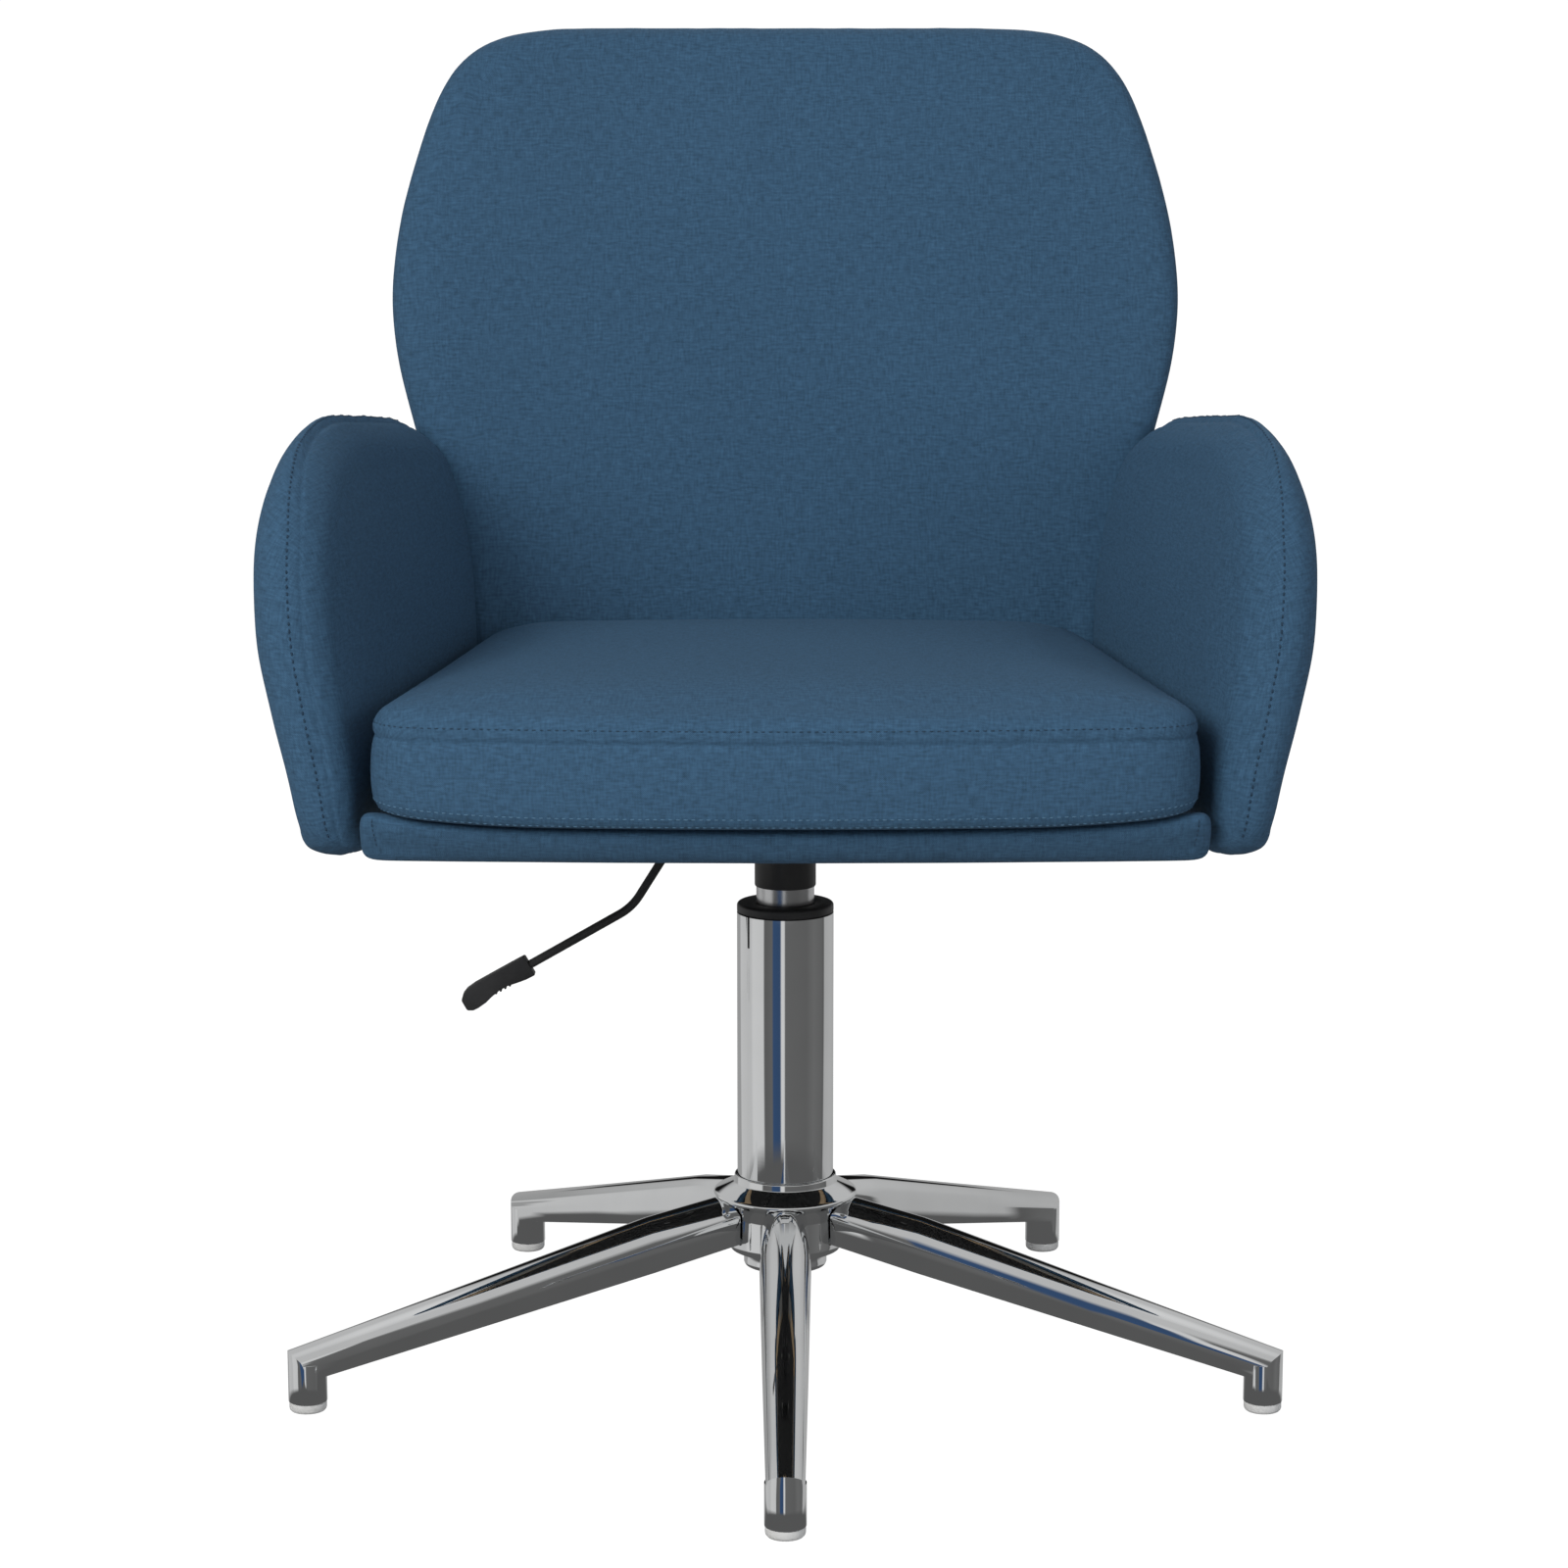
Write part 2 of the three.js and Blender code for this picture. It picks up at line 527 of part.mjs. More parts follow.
/** Plan of the upholstered front rail: a shallow bow in front, straight behind, round ends. */
function railShape() {
  const shape = new THREE.Shape();
  const end = 236;
  const rear = SEAT_FRONT - GAP;
  shape.moveTo(end - 12, rear);
  shape.lineTo(-end + 12, rear);
  shape.quadraticCurveTo(-end, rear, -end, rear - 10);
  shape.quadraticCurveTo(-end, rear - 20, -end + 16, rear - 23);
  shape.quadraticCurveTo(0, rear - 50, end - 16, rear - 23);
  shape.quadraticCurveTo(end, rear - 20, end, rear - 10);
  shape.quadraticCurveTo(end, rear, end - 12, rear);
  return shape;
}
const RAIL_ROUNDING = 4;
node('front_rail', new THREE.ExtrudeGeometry(railShape(), {
  depth: BOARD_TOP - RAIL_BOTTOM - 2 * RAIL_ROUNDING,
  bevelThickness: RAIL_ROUNDING,
  bevelSize: RAIL_ROUNDING,
  bevelOffset: -RAIL_ROUNDING,
  bevelSegments: 2,
  curveSegments: 6,
}).translate(0, 0, RAIL_BOTTOM + RAIL_ROUNDING), FABRIC, seat);

/** Plan of the cushion at one height, pulled in by inset: bowed front, round corners. */
function cushionRing(z, inset) {
  const front = -238 + inset;
  const rear = 138 - inset;
  const halfFront = 234 - inset;
  const halfRear = 197 - inset;
  const bow = 14;
  const rearBow = 18; // follows the hollow of the back
  const radius = Math.max(26 - 0.1 * inset, 4);
  const shape = new THREE.Shape();
  shape.moveTo(-halfFront + radius, front);
  shape.quadraticCurveTo(0, front - 2 * bow, halfFront - radius, front);
  shape.quadraticCurveTo(halfFront, front, halfFront, front + radius);
  shape.lineTo(halfRear, rear - radius);
  shape.quadraticCurveTo(halfRear, rear, halfRear - radius, rear);
  shape.quadraticCurveTo(0, rear + 2 * rearBow, -halfRear + radius, rear);
  shape.quadraticCurveTo(-halfRear, rear, -halfRear, rear - radius);
  shape.lineTo(-halfFront, front + radius);
  shape.quadraticCurveTo(-halfFront, front, -halfFront + radius, front);
  const corners = shape.getPoints(5);
  if (corners[0].distanceTo(corners.at(-1)) < 1e-6) corners.pop();
  return corners.map((p) => new THREE.Vector3(p.x, p.y, z));
}

const cushionBottom = BOARD_TOP + GAP;
const CUSHION_LEVELS = [
  [cushionBottom, 12], [cushionBottom + 3, 4], [397, 1], [412, 0], [426, 0.6], [438.5, 2.2], [443, 4],
  [447, 8], [451, 17], [454.5, 40], [457.5, 80], [CUSHION_TOP, 140],
];
node('seat_cushion', loft(CUSHION_LEVELS.map(([z, inset]) => cushionRing(z, inset))), FABRIC, seat);

// ---------------------------------------------------------------- back

const BACK_BOTTOM = 366;
const BACK_TOP = 836.5;
const BACK_HALF_WIDTH = [
  [BACK_BOTTOM, 196], [378, 204], [450, 210], [520, 226], [585, 244.5], [625, 254.5], [661, 258],
  [700, 254.5], [764, 239], [792, 229], [806, 221], [818, 211], [828, 194], [834, 170], [BACK_TOP, 148],
];
const BACK_FRONT = [[BACK_BOTTOM, 158], [452, 165], [540, 181], [661, 210], [760, 238], [BACK_TOP, 264]];
const BACK_ROUNDING = [[BACK_BOTTOM, 0.55], [378, 1], [800, 1], [818, 0.88], [829, 0.64],
  [834, 0.38], [BACK_TOP, 0.16]];
const BACK_BOW = [[BACK_BOTTOM, 14], [560, 26], [700, 28], [BACK_TOP, 16]]; // sides come forward by this
const PAD_THICKNESS = 34;
const SHELL_THICKNESS = 20;
const SHELL_INSET = 5; // the shell's outline lies inside the pad's
const SHELL_BEHIND = PAD_THICKNESS + 1; // the shell's face behind the pad's front face

/** Upright slab that follows the back: depth behind its front face, thickness, outline inset. */
function backSlab(behind, thickness, inset, grow = 0) {
  const levels = BACK_HALF_WIDTH.map(([z]) => z).concat(414).sort((a, b) => a - b);
  const rings = levels.map((z) => {
    const height = THREE.MathUtils.mapLinear(z, BACK_BOTTOM, BACK_TOP, BACK_BOTTOM + inset, BACK_TOP - inset);
    const half = (thickness / 2) * along(BACK_ROUNDING, z) + grow;
    const reach = along(BACK_HALF_WIDTH, z) - inset - half + grow;
    const bow = along(BACK_BOW, z);
    const y = along(BACK_FRONT, height) + behind + thickness / 2 - bow;
    return slabRing(new THREE.Vector2(reach, y), new THREE.Vector2(-reach, y), half, bow, height, 6);
  });
  return loft(rings);
}

node('back_pad', backSlab(0, PAD_THICKNESS, 0), FABRIC, seat);
node('back_shell', backSlab(SHELL_BEHIND, SHELL_THICKNESS, SHELL_INSET), FABRIC, seat);

// ---------------------------------------------------------------- arms

// Level sections of the right arm: height, front end, rear end, half thickness, and the distance of
// the centre line from the chair's middle plane at the front and at the rear.
const ARM_LEVELS = [
  { z: 361, front: -196, rear: 172, half: 10, xFront: 253, xRear: 216 },
  { z: 366, front: -206, rear: 182, half: 15, xFront: 256, xRear: 217 },
  { z: 380, front: -213, rear: 188, half: 18.2, xFront: 258, xRear: 218 },
  { z: 405, front: -214, rear: 190, half: 20, xFront: 261, xRear: 219 },
  { z: 440, front: -212, rear: 192, half: 22, xFront: 267.5, xRear: 220 },
  { z: 486, front: -207, rear: 195, half: 23.5, xFront: 275, xRear: 223 },
  { z: 520, front: -199, rear: 197, half: 23, xFront: 277.5, xRear: 228 },
  { z: 550, front: -185, rear: 196, half: 20.5, xFront: 278, xRear: 235 },
  { z: 572, front: -163, rear: 188, half: 17, xFront: 276.5, xRear: 238.8 },
  { z: 583, front: -143, rear: 164, half: 13.5, xFront: 274.6, xRear: 243.3 },
  { z: 588, front: -133, rear: 115, half: 11, xFront: 273.6, xRear: 248.9 },
  { z: 593, front: -117, rear: 45, half: 9, xFront: 271.8, xRear: 256.4 },
  { z: 597, front: -95, rear: -8, half: 6.5, xFront: 269.5, xRear: 261.8 },
  { z: 600, front: -72, rear: -48, half: 3.5, xFront: 267.1, xRear: 265.6 },
];
const ARM_BOW = 3;

function arm(side) {
  const rings = ARM_LEVELS.map(({ z, front, rear, half, xFront, xRear }) => {
    const start = new THREE.Vector2(side * xFront, front + half);
    const end = new THREE.Vector2(side * xRear, rear - half);
    return slabRing(start, end, half, side * ARM_BOW, z, 6, 6);
  });
  return cut(loft(rings), backSlab(0, PAD_THICKNESS, 0, GAP),
    backSlab(SHELL_BEHIND, SHELL_THICKNESS, SHELL_INSET, GAP));
}

node('arm_right', arm(1), FABRIC, seat);
node('arm_left', arm(-1), FABRIC, seat);

// ---------------------------------------------------------------- release lever and valve pin

const lever = new THREE.Group();
chair.add(lever);

const LEVER_CORNERS = [[8, LEVER_HEIGHT], [-56, LEVER_HEIGHT], [-95, 292.5], [-166, 252]];
const LEVER_BEND = 9; // distance from a corner at which the wire starts to bend

/** Wire along the corners, with a rounded bend at each inner corner. */
function leverPath() {
  const corners = LEVER_CORNERS.map(([x, z]) => new THREE.Vector3(x, 0, z));
  const path = new THREE.CurvePath();
  let start = corners[0];
  for (let i = 1; i < corners.length - 1; i += 1) {
    const back = corners[i - 1].clone().sub(corners[i]).setLength(LEVER_BEND).add(corners[i]);
    const ahead = corners[i + 1].clone().sub(corners[i]).setLength(LEVER_BEND).add(corners[i]);
    path.add(new THREE.LineCurve3(start, back));
    path.add(new THREE.QuadraticBezierCurve3(back, corners[i], ahead));
    start = ahead;
  }
  path.add(new THREE.LineCurve3(start, corners.at(-1)));
  return path;
}

const wireSection = new THREE.Shape().absarc(0, 0, LEVER_RADIUS, 0, Math.PI * 2);
node('lever_rod', new THREE.ExtrudeGeometry(wireSection, {
  extrudePath: leverPath(), steps: 36, curveSegments: 4,
}), BLACK_PAINT, lever);

const HANDLE = { length: 54, height: 16, thickness: 9, socketDepth: 14 };

/** Flat paddle along -X from its socket end, with a chamfered tip and a finger scallop below. */
function leverHandle() {
  const { length, height, thickness } = HANDLE;
  const h = height / 2;
  const shape = new THREE.Shape();
  shape.moveTo(0, -h * 0.75);
  shape.lineTo(0, h * 0.75);
  shape.lineTo(-7, h);
  shape.lineTo(-length + 8, h);
  shape.lineTo(-length, h - 7);
  shape.lineTo(-length, -h + 3);
  shape.lineTo(-length + 4, -h);
  shape.lineTo(-length + 14, -h);
  shape.quadraticCurveTo(-length / 2, -h + 6, -12, -h);
  const body = new THREE.ExtrudeGeometry(shape, {
    depth: thickness - 2, bevelThickness: 1, bevelSize: 1, bevelOffset: -1, bevelSegments: 1, curveSegments: 6,
  }).rotateX(Math.PI / 2).translate(0, thickness / 2 - 1, 0);
  const socket = rod(LEVER_RADIUS + GAP, -HANDLE.socketDepth - GAP, 2).rotateY(Math.PI / 2);
  const [[x0, z0], [x1, z1]] = LEVER_CORNERS.slice(-2);
  const slope = new THREE.Vector2(x0 - x1, z0 - z1);
  const start = slope.clone().setLength(HANDLE.socketDepth).add(new THREE.Vector2(x1, z1));
  return cut(body, socket).rotateY(-slope.angle()).translate(start.x, 0, start.y);
}

node('lever_handle', leverHandle(), BLACK_PLASTIC, lever);

const PIN = { bottom: 322, top: 351.6 };
node('valve_pin', turned([
  [0, PIN.bottom], [PIN_RADIUS, PIN.bottom], [PIN_RADIUS, PIN.top - 1.8], [2.2, PIN.top - 0.4],
  [0, PIN.top],
], 16), SATIN_STEEL, chair);

export default chair;
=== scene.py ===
import math

import bpy
import numpy as np
from mathutils import Matrix, Vector, noise
from mathutils.kdtree import KDTree


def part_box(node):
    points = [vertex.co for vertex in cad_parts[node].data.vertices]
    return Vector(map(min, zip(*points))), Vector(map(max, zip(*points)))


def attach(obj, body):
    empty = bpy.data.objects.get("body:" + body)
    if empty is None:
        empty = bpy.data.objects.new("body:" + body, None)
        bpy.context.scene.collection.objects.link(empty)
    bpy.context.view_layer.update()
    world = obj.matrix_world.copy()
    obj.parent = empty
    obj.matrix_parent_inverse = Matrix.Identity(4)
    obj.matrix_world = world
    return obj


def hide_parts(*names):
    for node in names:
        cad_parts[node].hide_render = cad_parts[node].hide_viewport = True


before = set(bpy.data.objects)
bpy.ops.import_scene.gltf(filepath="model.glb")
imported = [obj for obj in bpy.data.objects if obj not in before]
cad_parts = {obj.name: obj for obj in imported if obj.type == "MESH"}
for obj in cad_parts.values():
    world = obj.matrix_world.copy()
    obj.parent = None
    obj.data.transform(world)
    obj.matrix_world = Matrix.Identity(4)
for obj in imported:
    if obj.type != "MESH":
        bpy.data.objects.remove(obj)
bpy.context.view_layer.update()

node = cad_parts
FULL_TURN = 2 * math.pi

# ---------------------------------------------------------------------------------------------
# The camera stands in front of the chair at about the height of its back and looks a little down.
camera_data = bpy.data.cameras.new("camera")
camera_data.lens = 85.87
camera_data.sensor_width = 36
camera = bpy.data.objects.new("camera", camera_data)
camera.location = (-0.0008, -2.2747, 0.7511)
camera.rotation_euler = (math.radians(80.487), 0, 0)
bpy.context.collection.objects.link(camera)
bpy.context.scene.camera = camera
bpy.context.scene.view_settings.view_transform = "Standard"

# ---------------------------------------------------------------------------------------------
# The studio: a pale floor that curves up behind the chair, soft boxes round it and overhead, and
# for polished metal a room of upright light and dark bands, a dark panel behind and a dark ground.


def new_material(name):
    """An empty node material, its nodes, its links and its Principled shader."""
    material = bpy.data.materials.new(name)
    material.use_nodes = True
    tree = material.node_tree
    return material, tree.nodes, tree.links, tree.nodes["Principled BSDF"]


def math_node(nodes, links, operation, first, second=None, third=None):
    """A Math node; each input is a number or a socket."""
    step = nodes.new("ShaderNodeMath")
    step.operation = operation
    for place, value in enumerate((first, second, third)):
        if value is None:
            continue
        if isinstance(value, (int, float)):
            step.inputs[place].default_value = value
        else:
            links.new(value, step.inputs[place])
    return step.outputs[0]


def colour_ramp(nodes, links, value, stops, interpolation="LINEAR"):
    """A Color Ramp through (place, grey or colour) stops."""
    ramp = nodes.new("ShaderNodeValToRGB")
    ramp.color_ramp.interpolation = interpolation
    elements = ramp.color_ramp.elements
    while len(elements) > 1:
        elements.remove(elements[-1])
    for number, (place, colour) in enumerate(stops):
        rgb = (colour,) * 3 if isinstance(colour, (int, float)) else colour
        element = elements[0] if number == 0 else elements.new(place)
        element.position = place
        element.color = (*rgb, 1)
    links.new(value, ramp.inputs[0])
    return ramp.outputs[0]


def room_bands(nodes, links, vector):
    """Upright bands of a studio by compass direction: 0 and 1 behind the chair, 0.5 in front of it."""
    parts = nodes.new("ShaderNodeSeparateXYZ")
    links.new(vector, parts.inputs[0])
    ahead = math_node(nodes, links, "MULTIPLY", parts.outputs["Y"], -1.0)
    angle = math_node(nodes, links, "ARCTAN2", parts.outputs["X"], ahead)
    turn = math_node(nodes, links, "MULTIPLY_ADD", angle, 1 / FULL_TURN, 0.5)
    bands = colour_ramp(nodes, links, turn, [
        (0.0, 0.36), (0.125, 0.33), (0.135, 0.56), (0.25, 0.52), (0.27, 0.62), (0.352, 0.6), (0.36, 0.11),
        (0.414, 0.13), (0.420, (0.036, 0.076, 0.165)), (0.468, (0.036, 0.07, 0.145)), (0.474, 0.66),
        (0.494, 0.62), (0.5, 0.13), (0.64, 0.12), (0.7, 0.15), (0.77, 0.13), (0.785, 0.1), (0.795, 0.42),
        (0.87, 0.45), (1.0, 0.36),
    ])
    return bands, parts


world = bpy.data.worlds.new("studio")
bpy.context.scene.world = world
world.use_nodes = True
nodes, links = world.node_tree.nodes, world.node_tree.links
direction = nodes.new("ShaderNodeTexCoord").outputs["Generated"]
bands, parts = room_bands(nodes, links, direction)


def fade(value, gain, offset):
    """A soft step from 0 to 1."""
    step = math_node(nodes, links, "MULTIPLY_ADD", value, gain, offset)
    step.node.use_clamp = True
    return step


def blend_to(first, second, factor):
    """A colour mix; each input is a grey or a socket."""
    mix = nodes.new("ShaderNodeMix")
    mix.data_type = "RGBA"
    for name, value in (("A", first), ("B", second), ("Factor", factor)):
        if isinstance(value, (int, float)):
            mix.inputs[name].default_value = (value, value, value, 1)
        else:
            links.new(value, mix.inputs[name])
    return mix.outputs["Result"]


sideways = math_node(nodes, links, "ABSOLUTE", parts.outputs["X"])
beside = math_node(nodes, links, "MULTIPLY_ADD", parts.outputs["Y"], -0.36, sideways)
panel = math_node(nodes, links, "MULTIPLY", fade(beside, -16.0, 0.5), fade(parts.outputs["Z"], 18.0, -1.7))
upper = blend_to(bands, 0.52, fade(parts.outputs["Z"], 4.0, -0.7))
upper = blend_to(upper, 0.72, fade(parts.outputs["Z"], 6.0, -5.0))
lower = blend_to(upper, 0.1, fade(parts.outputs["Z"], -18.0, -6.7))
room = nodes.new("ShaderNodeMix")
room.data_type = "RGBA"
links.new(lower, room.inputs["A"])
room.inputs["B"].default_value = (0.006, 0.006, 0.006, 1)
links.new(panel, room.inputs["Factor"])
rays = nodes.new("ShaderNodeLightPath")
seen = nodes.new("ShaderNodeMix")
seen.data_type = "RGBA"
seen.inputs["A"].default_value = (0.92, 0.95, 1.0, 1)
links.new(rays.outputs["Is Glossy Ray"], seen.inputs["Factor"])
links.new(room.outputs["Result"], seen.inputs["B"])
strength = math_node(nodes, links, "MULTIPLY_ADD", rays.outputs["Is Glossy Ray"], 0.62, 0.38)
strength = math_node(nodes, links, "MAXIMUM", strength, rays.outputs["Is Camera Ray"])
background = nodes["Background"]
links.new(seen.outputs["Result"], background.inputs["Color"])
links.new(strength, background.inputs["Strength"])

bpy.ops.object.select_all(action="DESELECT")
bpy.ops.mesh.primitive_plane_add(size=12, location=(0, -1.0, 0))
floor = bpy.context.object
floor.name = "studio_floor"
bpy.ops.object.mode_set(mode="EDIT")
bpy.ops.mesh.select_all(action="DESELECT")
bpy.ops.object.mode_set(mode="OBJECT")
for edge in floor.data.edges:
    edge.select = all(floor.data.vertices[v].co.y > 5.9 for v in edge.vertices)
bpy.ops.object.mode_set(mode="EDIT")
bpy.ops.mesh.select_mode(type="EDGE")
bpy.ops.mesh.extrude_region_move(TRANSFORM_OT_translate={"value": (0, 0, 5)})
bpy.ops.mesh.select_all(action="SELECT")
bpy.ops.mesh.normals_make_consistent(inside=False)
bpy.ops.object.mode_set(mode="OBJECT")
curve_up = floor.modifiers.new("curve_up", "BEVEL")
curve_up.width, curve_up.segments, curve_up.limit_method = 2.0, 12, "ANGLE"
bpy.ops.object.modifier_apply(modifier="curve_up")
bpy.ops.object.shade_smooth()
bpy.ops.object.transform_apply(location=True, rotation=True, scale=True)
floor_finish, nodes, links, shader = new_material("floor_paper")
shader.inputs["Base Color"].default_value = (0.42, 0.42, 0.42, 1)
shader.inputs["Roughness"].default_value = 0.9
shader.inputs["Specular IOR Level"].default_value = 0.0
shine = nodes.new("ShaderNodeEmission")
shine.inputs["Color"].default_value = (1, 1, 1, 1)
shine.inputs["Strength"].default_value = 1.22
rays = nodes.new("ShaderNodeLightPath")
either = nodes.new("ShaderNodeMixShader")
links.new(math_node(nodes, links, "MULTIPLY", rays.outputs["Is Camera Ray"], 0.82), either.inputs[0])
links.new(shader.outputs[0], either.inputs[1])
links.new(shine.outputs[0], either.inputs[2])
links.new(either.outputs[0], nodes["Material Output"].inputs["Surface"])
floor.data.materials.append(floor_finish)
floor.visible_glossy = False

for name, place, aim, size, power, colour in (
    ("key_left", (-1.4, -2.3, 1.75), (0, 0, 0.5), 1.3, 69, (1, 0.985, 0.96)),
    ("fill_right", (2.2, -2.3, 1.25), (0, 0, 0.5), 1.6, 22, (0.95, 0.97, 1)),
    ("top_box", (0.2, 0.6, 2.9), (0, 0, 0.5), 2.0, 5, (1, 1, 1)),
    ("rear_box", (0.5, 2.5, 1.8), (0, 0, 0.5), 1.6, 30, (1, 1, 1)),
):
    lamp_data = bpy.data.lights.new(name, "AREA")
    lamp_data.size, lamp_data.energy, lamp_data.color = size, power, colour
    lamp = bpy.data.objects.new(name, lamp_data)
    lamp.location = place
    lamp.rotation_euler = (Vector(aim) - Vector(place)).to_track_quat("-Z", "Y").to_euler()
    lamp.visible_glossy = False
    bpy.context.collection.objects.link(lamp)

# ---------------------------------------------------------------------------------------------
# Hub: a die-cast ring with a low boss underneath and a sloping flange on top, chrome plated all over.
# The column presses into its bore and five arms, hidden in the legs, carry the load outwards.


def noise_at(nodes, links, vector, scale, detail=3.0, roughness=0.5):
    """A noise texture's value at a vector."""
    texture = nodes.new("ShaderNodeTexNoise")
    texture.inputs["Scale"].default_value = scale
    texture.inputs["Detail"].default_value = detail
    texture.inputs["Roughness"].default_value = roughness
    links.new(vector, texture.inputs["Vector"])
    return texture.outputs["Fac"]


def new_group(name, inputs, outputs):
    """A shader node group with named inputs (type, default) and outputs."""
    group = bpy.data.node_groups.new(name, "ShaderNodeTree")
    for label, kind, value in inputs:
        socket = group.interface.new_socket(label, in_out="INPUT", socket_type=kind)
        if value is not None:
            socket.default_value = value
    for label, kind in outputs:
        group.interface.new_socket(label, in_out="OUTPUT", socket_type=kind)
    start, end = group.nodes.new("NodeGroupInput"), group.nodes.new("NodeGroupOutput")
    return group, group.nodes, group.links, start, end


# Handling marks: cloudy smears and hairline rubbing that change how sharp a metal's shine is.
handling_marks, nodes, links, start, end = new_group(
    "handling_marks",
    [("Place", "NodeSocketVector", None), ("Polish", "NodeSocketFloat", 0.05),
     ("Smears", "NodeSocketFloat", 0.04)],
    [("Roughness", "NodeSocketFloat"), ("Height", "NodeSocketFloat")])
cloud = noise_at(nodes, links, start.outputs["Place"], 14, 4)
stretch = nodes.new("ShaderNodeMapping")
stretch.inputs["Scale"].default_value = (60, 60, 900)
links.new(start.outputs["Place"], stretch.inputs["Vector"])
hairlines = noise_at(nodes, links, stretch.outputs[0], 1.0, 2)
smear = math_node(nodes, links, "MULTIPLY", math_node(nodes, links, "SUBTRACT", cloud, 0.35), 1.6)
smear = math_node(nodes, links, "MAXIMUM", smear, 0.0)
smear = math_node(nodes, links, "MULTIPLY", smear, start.outputs["Smears"])
links.new(math_node(nodes, links, "ADD", smear, start.outputs["Polish"]), end.inputs["Roughness"])
links.new(math_node(nodes, links, "MULTIPLY_ADD", hairlines, 0.5, cloud), end.inputs["Height"])


def add_relief(nodes, links, shader, height, strength, distance):
    """Raises a finish's surface by a height pattern."""
    relief = nodes.new("ShaderNodeBump")
    relief.inputs["Strength"].default_value = strength
    relief.inputs["Distance"].default_value = distance
    links.new(height, relief.inputs["Height"])
    links.new(relief.outputs[0], shader.inputs["Normal"])


def metal(name, colour, polish, smears, bump):
    """A metal finish with handling marks."""
    material, nodes, links, shader = new_material(name)
    marks = nodes.new("ShaderNodeGroup")
    marks.node_tree = handling_marks
    marks.inputs["Polish"].default_value = polish
    marks.inputs["Smears"].default_value = smears
    place = nodes.new("ShaderNodeTexCoord").outputs["Object"]
    links.new(place, marks.inputs["Place"])
    links.new(marks.outputs["Roughness"], shader.inputs["Roughness"])
    tone = noise_at(nodes, links, place, 30, 2)
    links.new(colour_ramp(nodes, links, tone, [
        (0.3, tuple(0.96 * c for c in colour)), (0.7, colour)]), shader.inputs["Base Color"])
    shader.inputs["Metallic"].default_value = 1.0
    add_relief(nodes, links, shader, marks.outputs["Height"], bump, 0.0002)
    return material


chrome = metal("chrome_plate", (0.86, 0.87, 0.875), 0.035, 0.03, 0.02)
zinc = metal("zinc_plate", (0.6, 0.6, 0.58), 0.3, 0.25, 0.25)


def dress(names, material):
    """Gives carried-over nodes a finish."""
    for name in names:
        for place in node[name].material_slots:
            place.material = material


def only(piece):
    """Makes a piece the one selected, active object."""
    if bpy.context.object and bpy.context.mode != "OBJECT":
        bpy.ops.object.mode_set(mode="OBJECT")
    bpy.ops.object.select_all(action="DESELECT")
    piece.select_set(True)
    bpy.context.view_layer.objects.active = piece


def apply_modifier(piece, kind, **values):
    """Adds a modifier with the given settings and applies it."""
    only(piece)
    modifier = piece.modifiers.new(kind.lower(), kind)
    for key, value in values.items():
        setattr(modifier, key, value)
    bpy.ops.object.modifier_apply(modifier=modifier.name)


def soft_edges(piece, width, segments=3, angle=30):
    """Breaks a hard piece's sharp edges and shades it smooth between them."""
    apply_modifier(piece, "BEVEL", width=width, segments=segments, limit_method="ANGLE",
                   angle_limit=math.radians(angle), use_clamp_overlap=True, harden_normals=False)
    only(piece)
    bpy.ops.object.shade_smooth_by_angle(angle=math.radians(32))


def turned(name, profile, steps=96, closed=False):
    """A lathe piece about the column's axis: its profile is drawn point by point, then spun."""
    bpy.ops.object.select_all(action="DESELECT")
    bpy.ops.mesh.primitive_plane_add(size=0.001, location=(0, 0, 0))
    piece = bpy.context.object
    piece.name = name
    bpy.ops.object.mode_set(mode="EDIT")
    bpy.ops.mesh.select_mode(type="VERT")
    bpy.ops.mesh.select_all(action="SELECT")
    bpy.ops.mesh.merge(type="CENTER")
    at = Vector((0, 0, 0))
    for number, (radius, height) in enumerate(profile):
        step = Vector((radius, 0, height)) / 1000 - at
        if number == 0:
            bpy.ops.transform.translate(value=step)
        else:
            bpy.ops.mesh.extrude_region_move(TRANSFORM_OT_translate={"value": step})
        at += step
    if closed:
        step = Vector((profile[0][0], 0, profile[0][1])) / 1000 - at
        bpy.ops.mesh.extrude_region_move(TRANSFORM_OT_translate={"value": step})
    bpy.ops.mesh.select_all(action="SELECT")
    bpy.ops.mesh.spin(steps=steps, angle=FULL_TURN, center=(0, 0, 0), axis=(0, 0, 1))
    bpy.ops.mesh.select_all(action="SELECT")
    bpy.ops.mesh.remove_doubles(threshold=0.00001)
    bpy.ops.mesh.normals_make_consistent(inside=False)
    bpy.ops.object.mode_set(mode="OBJECT")
    return piece


def finish_piece(piece, body, material, slot, *replaced):
    """Puts the piece's place in its mesh, gives it its finish, hides the nodes that it replaces and ties it to
    its body.
    """
    only(piece)
    bpy.ops.object.transform_apply(location=True, rotation=True, scale=True)
    piece.data.materials.clear()
    piece.data.materials.append(material)
    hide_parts(*replaced)
    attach(piece, body)


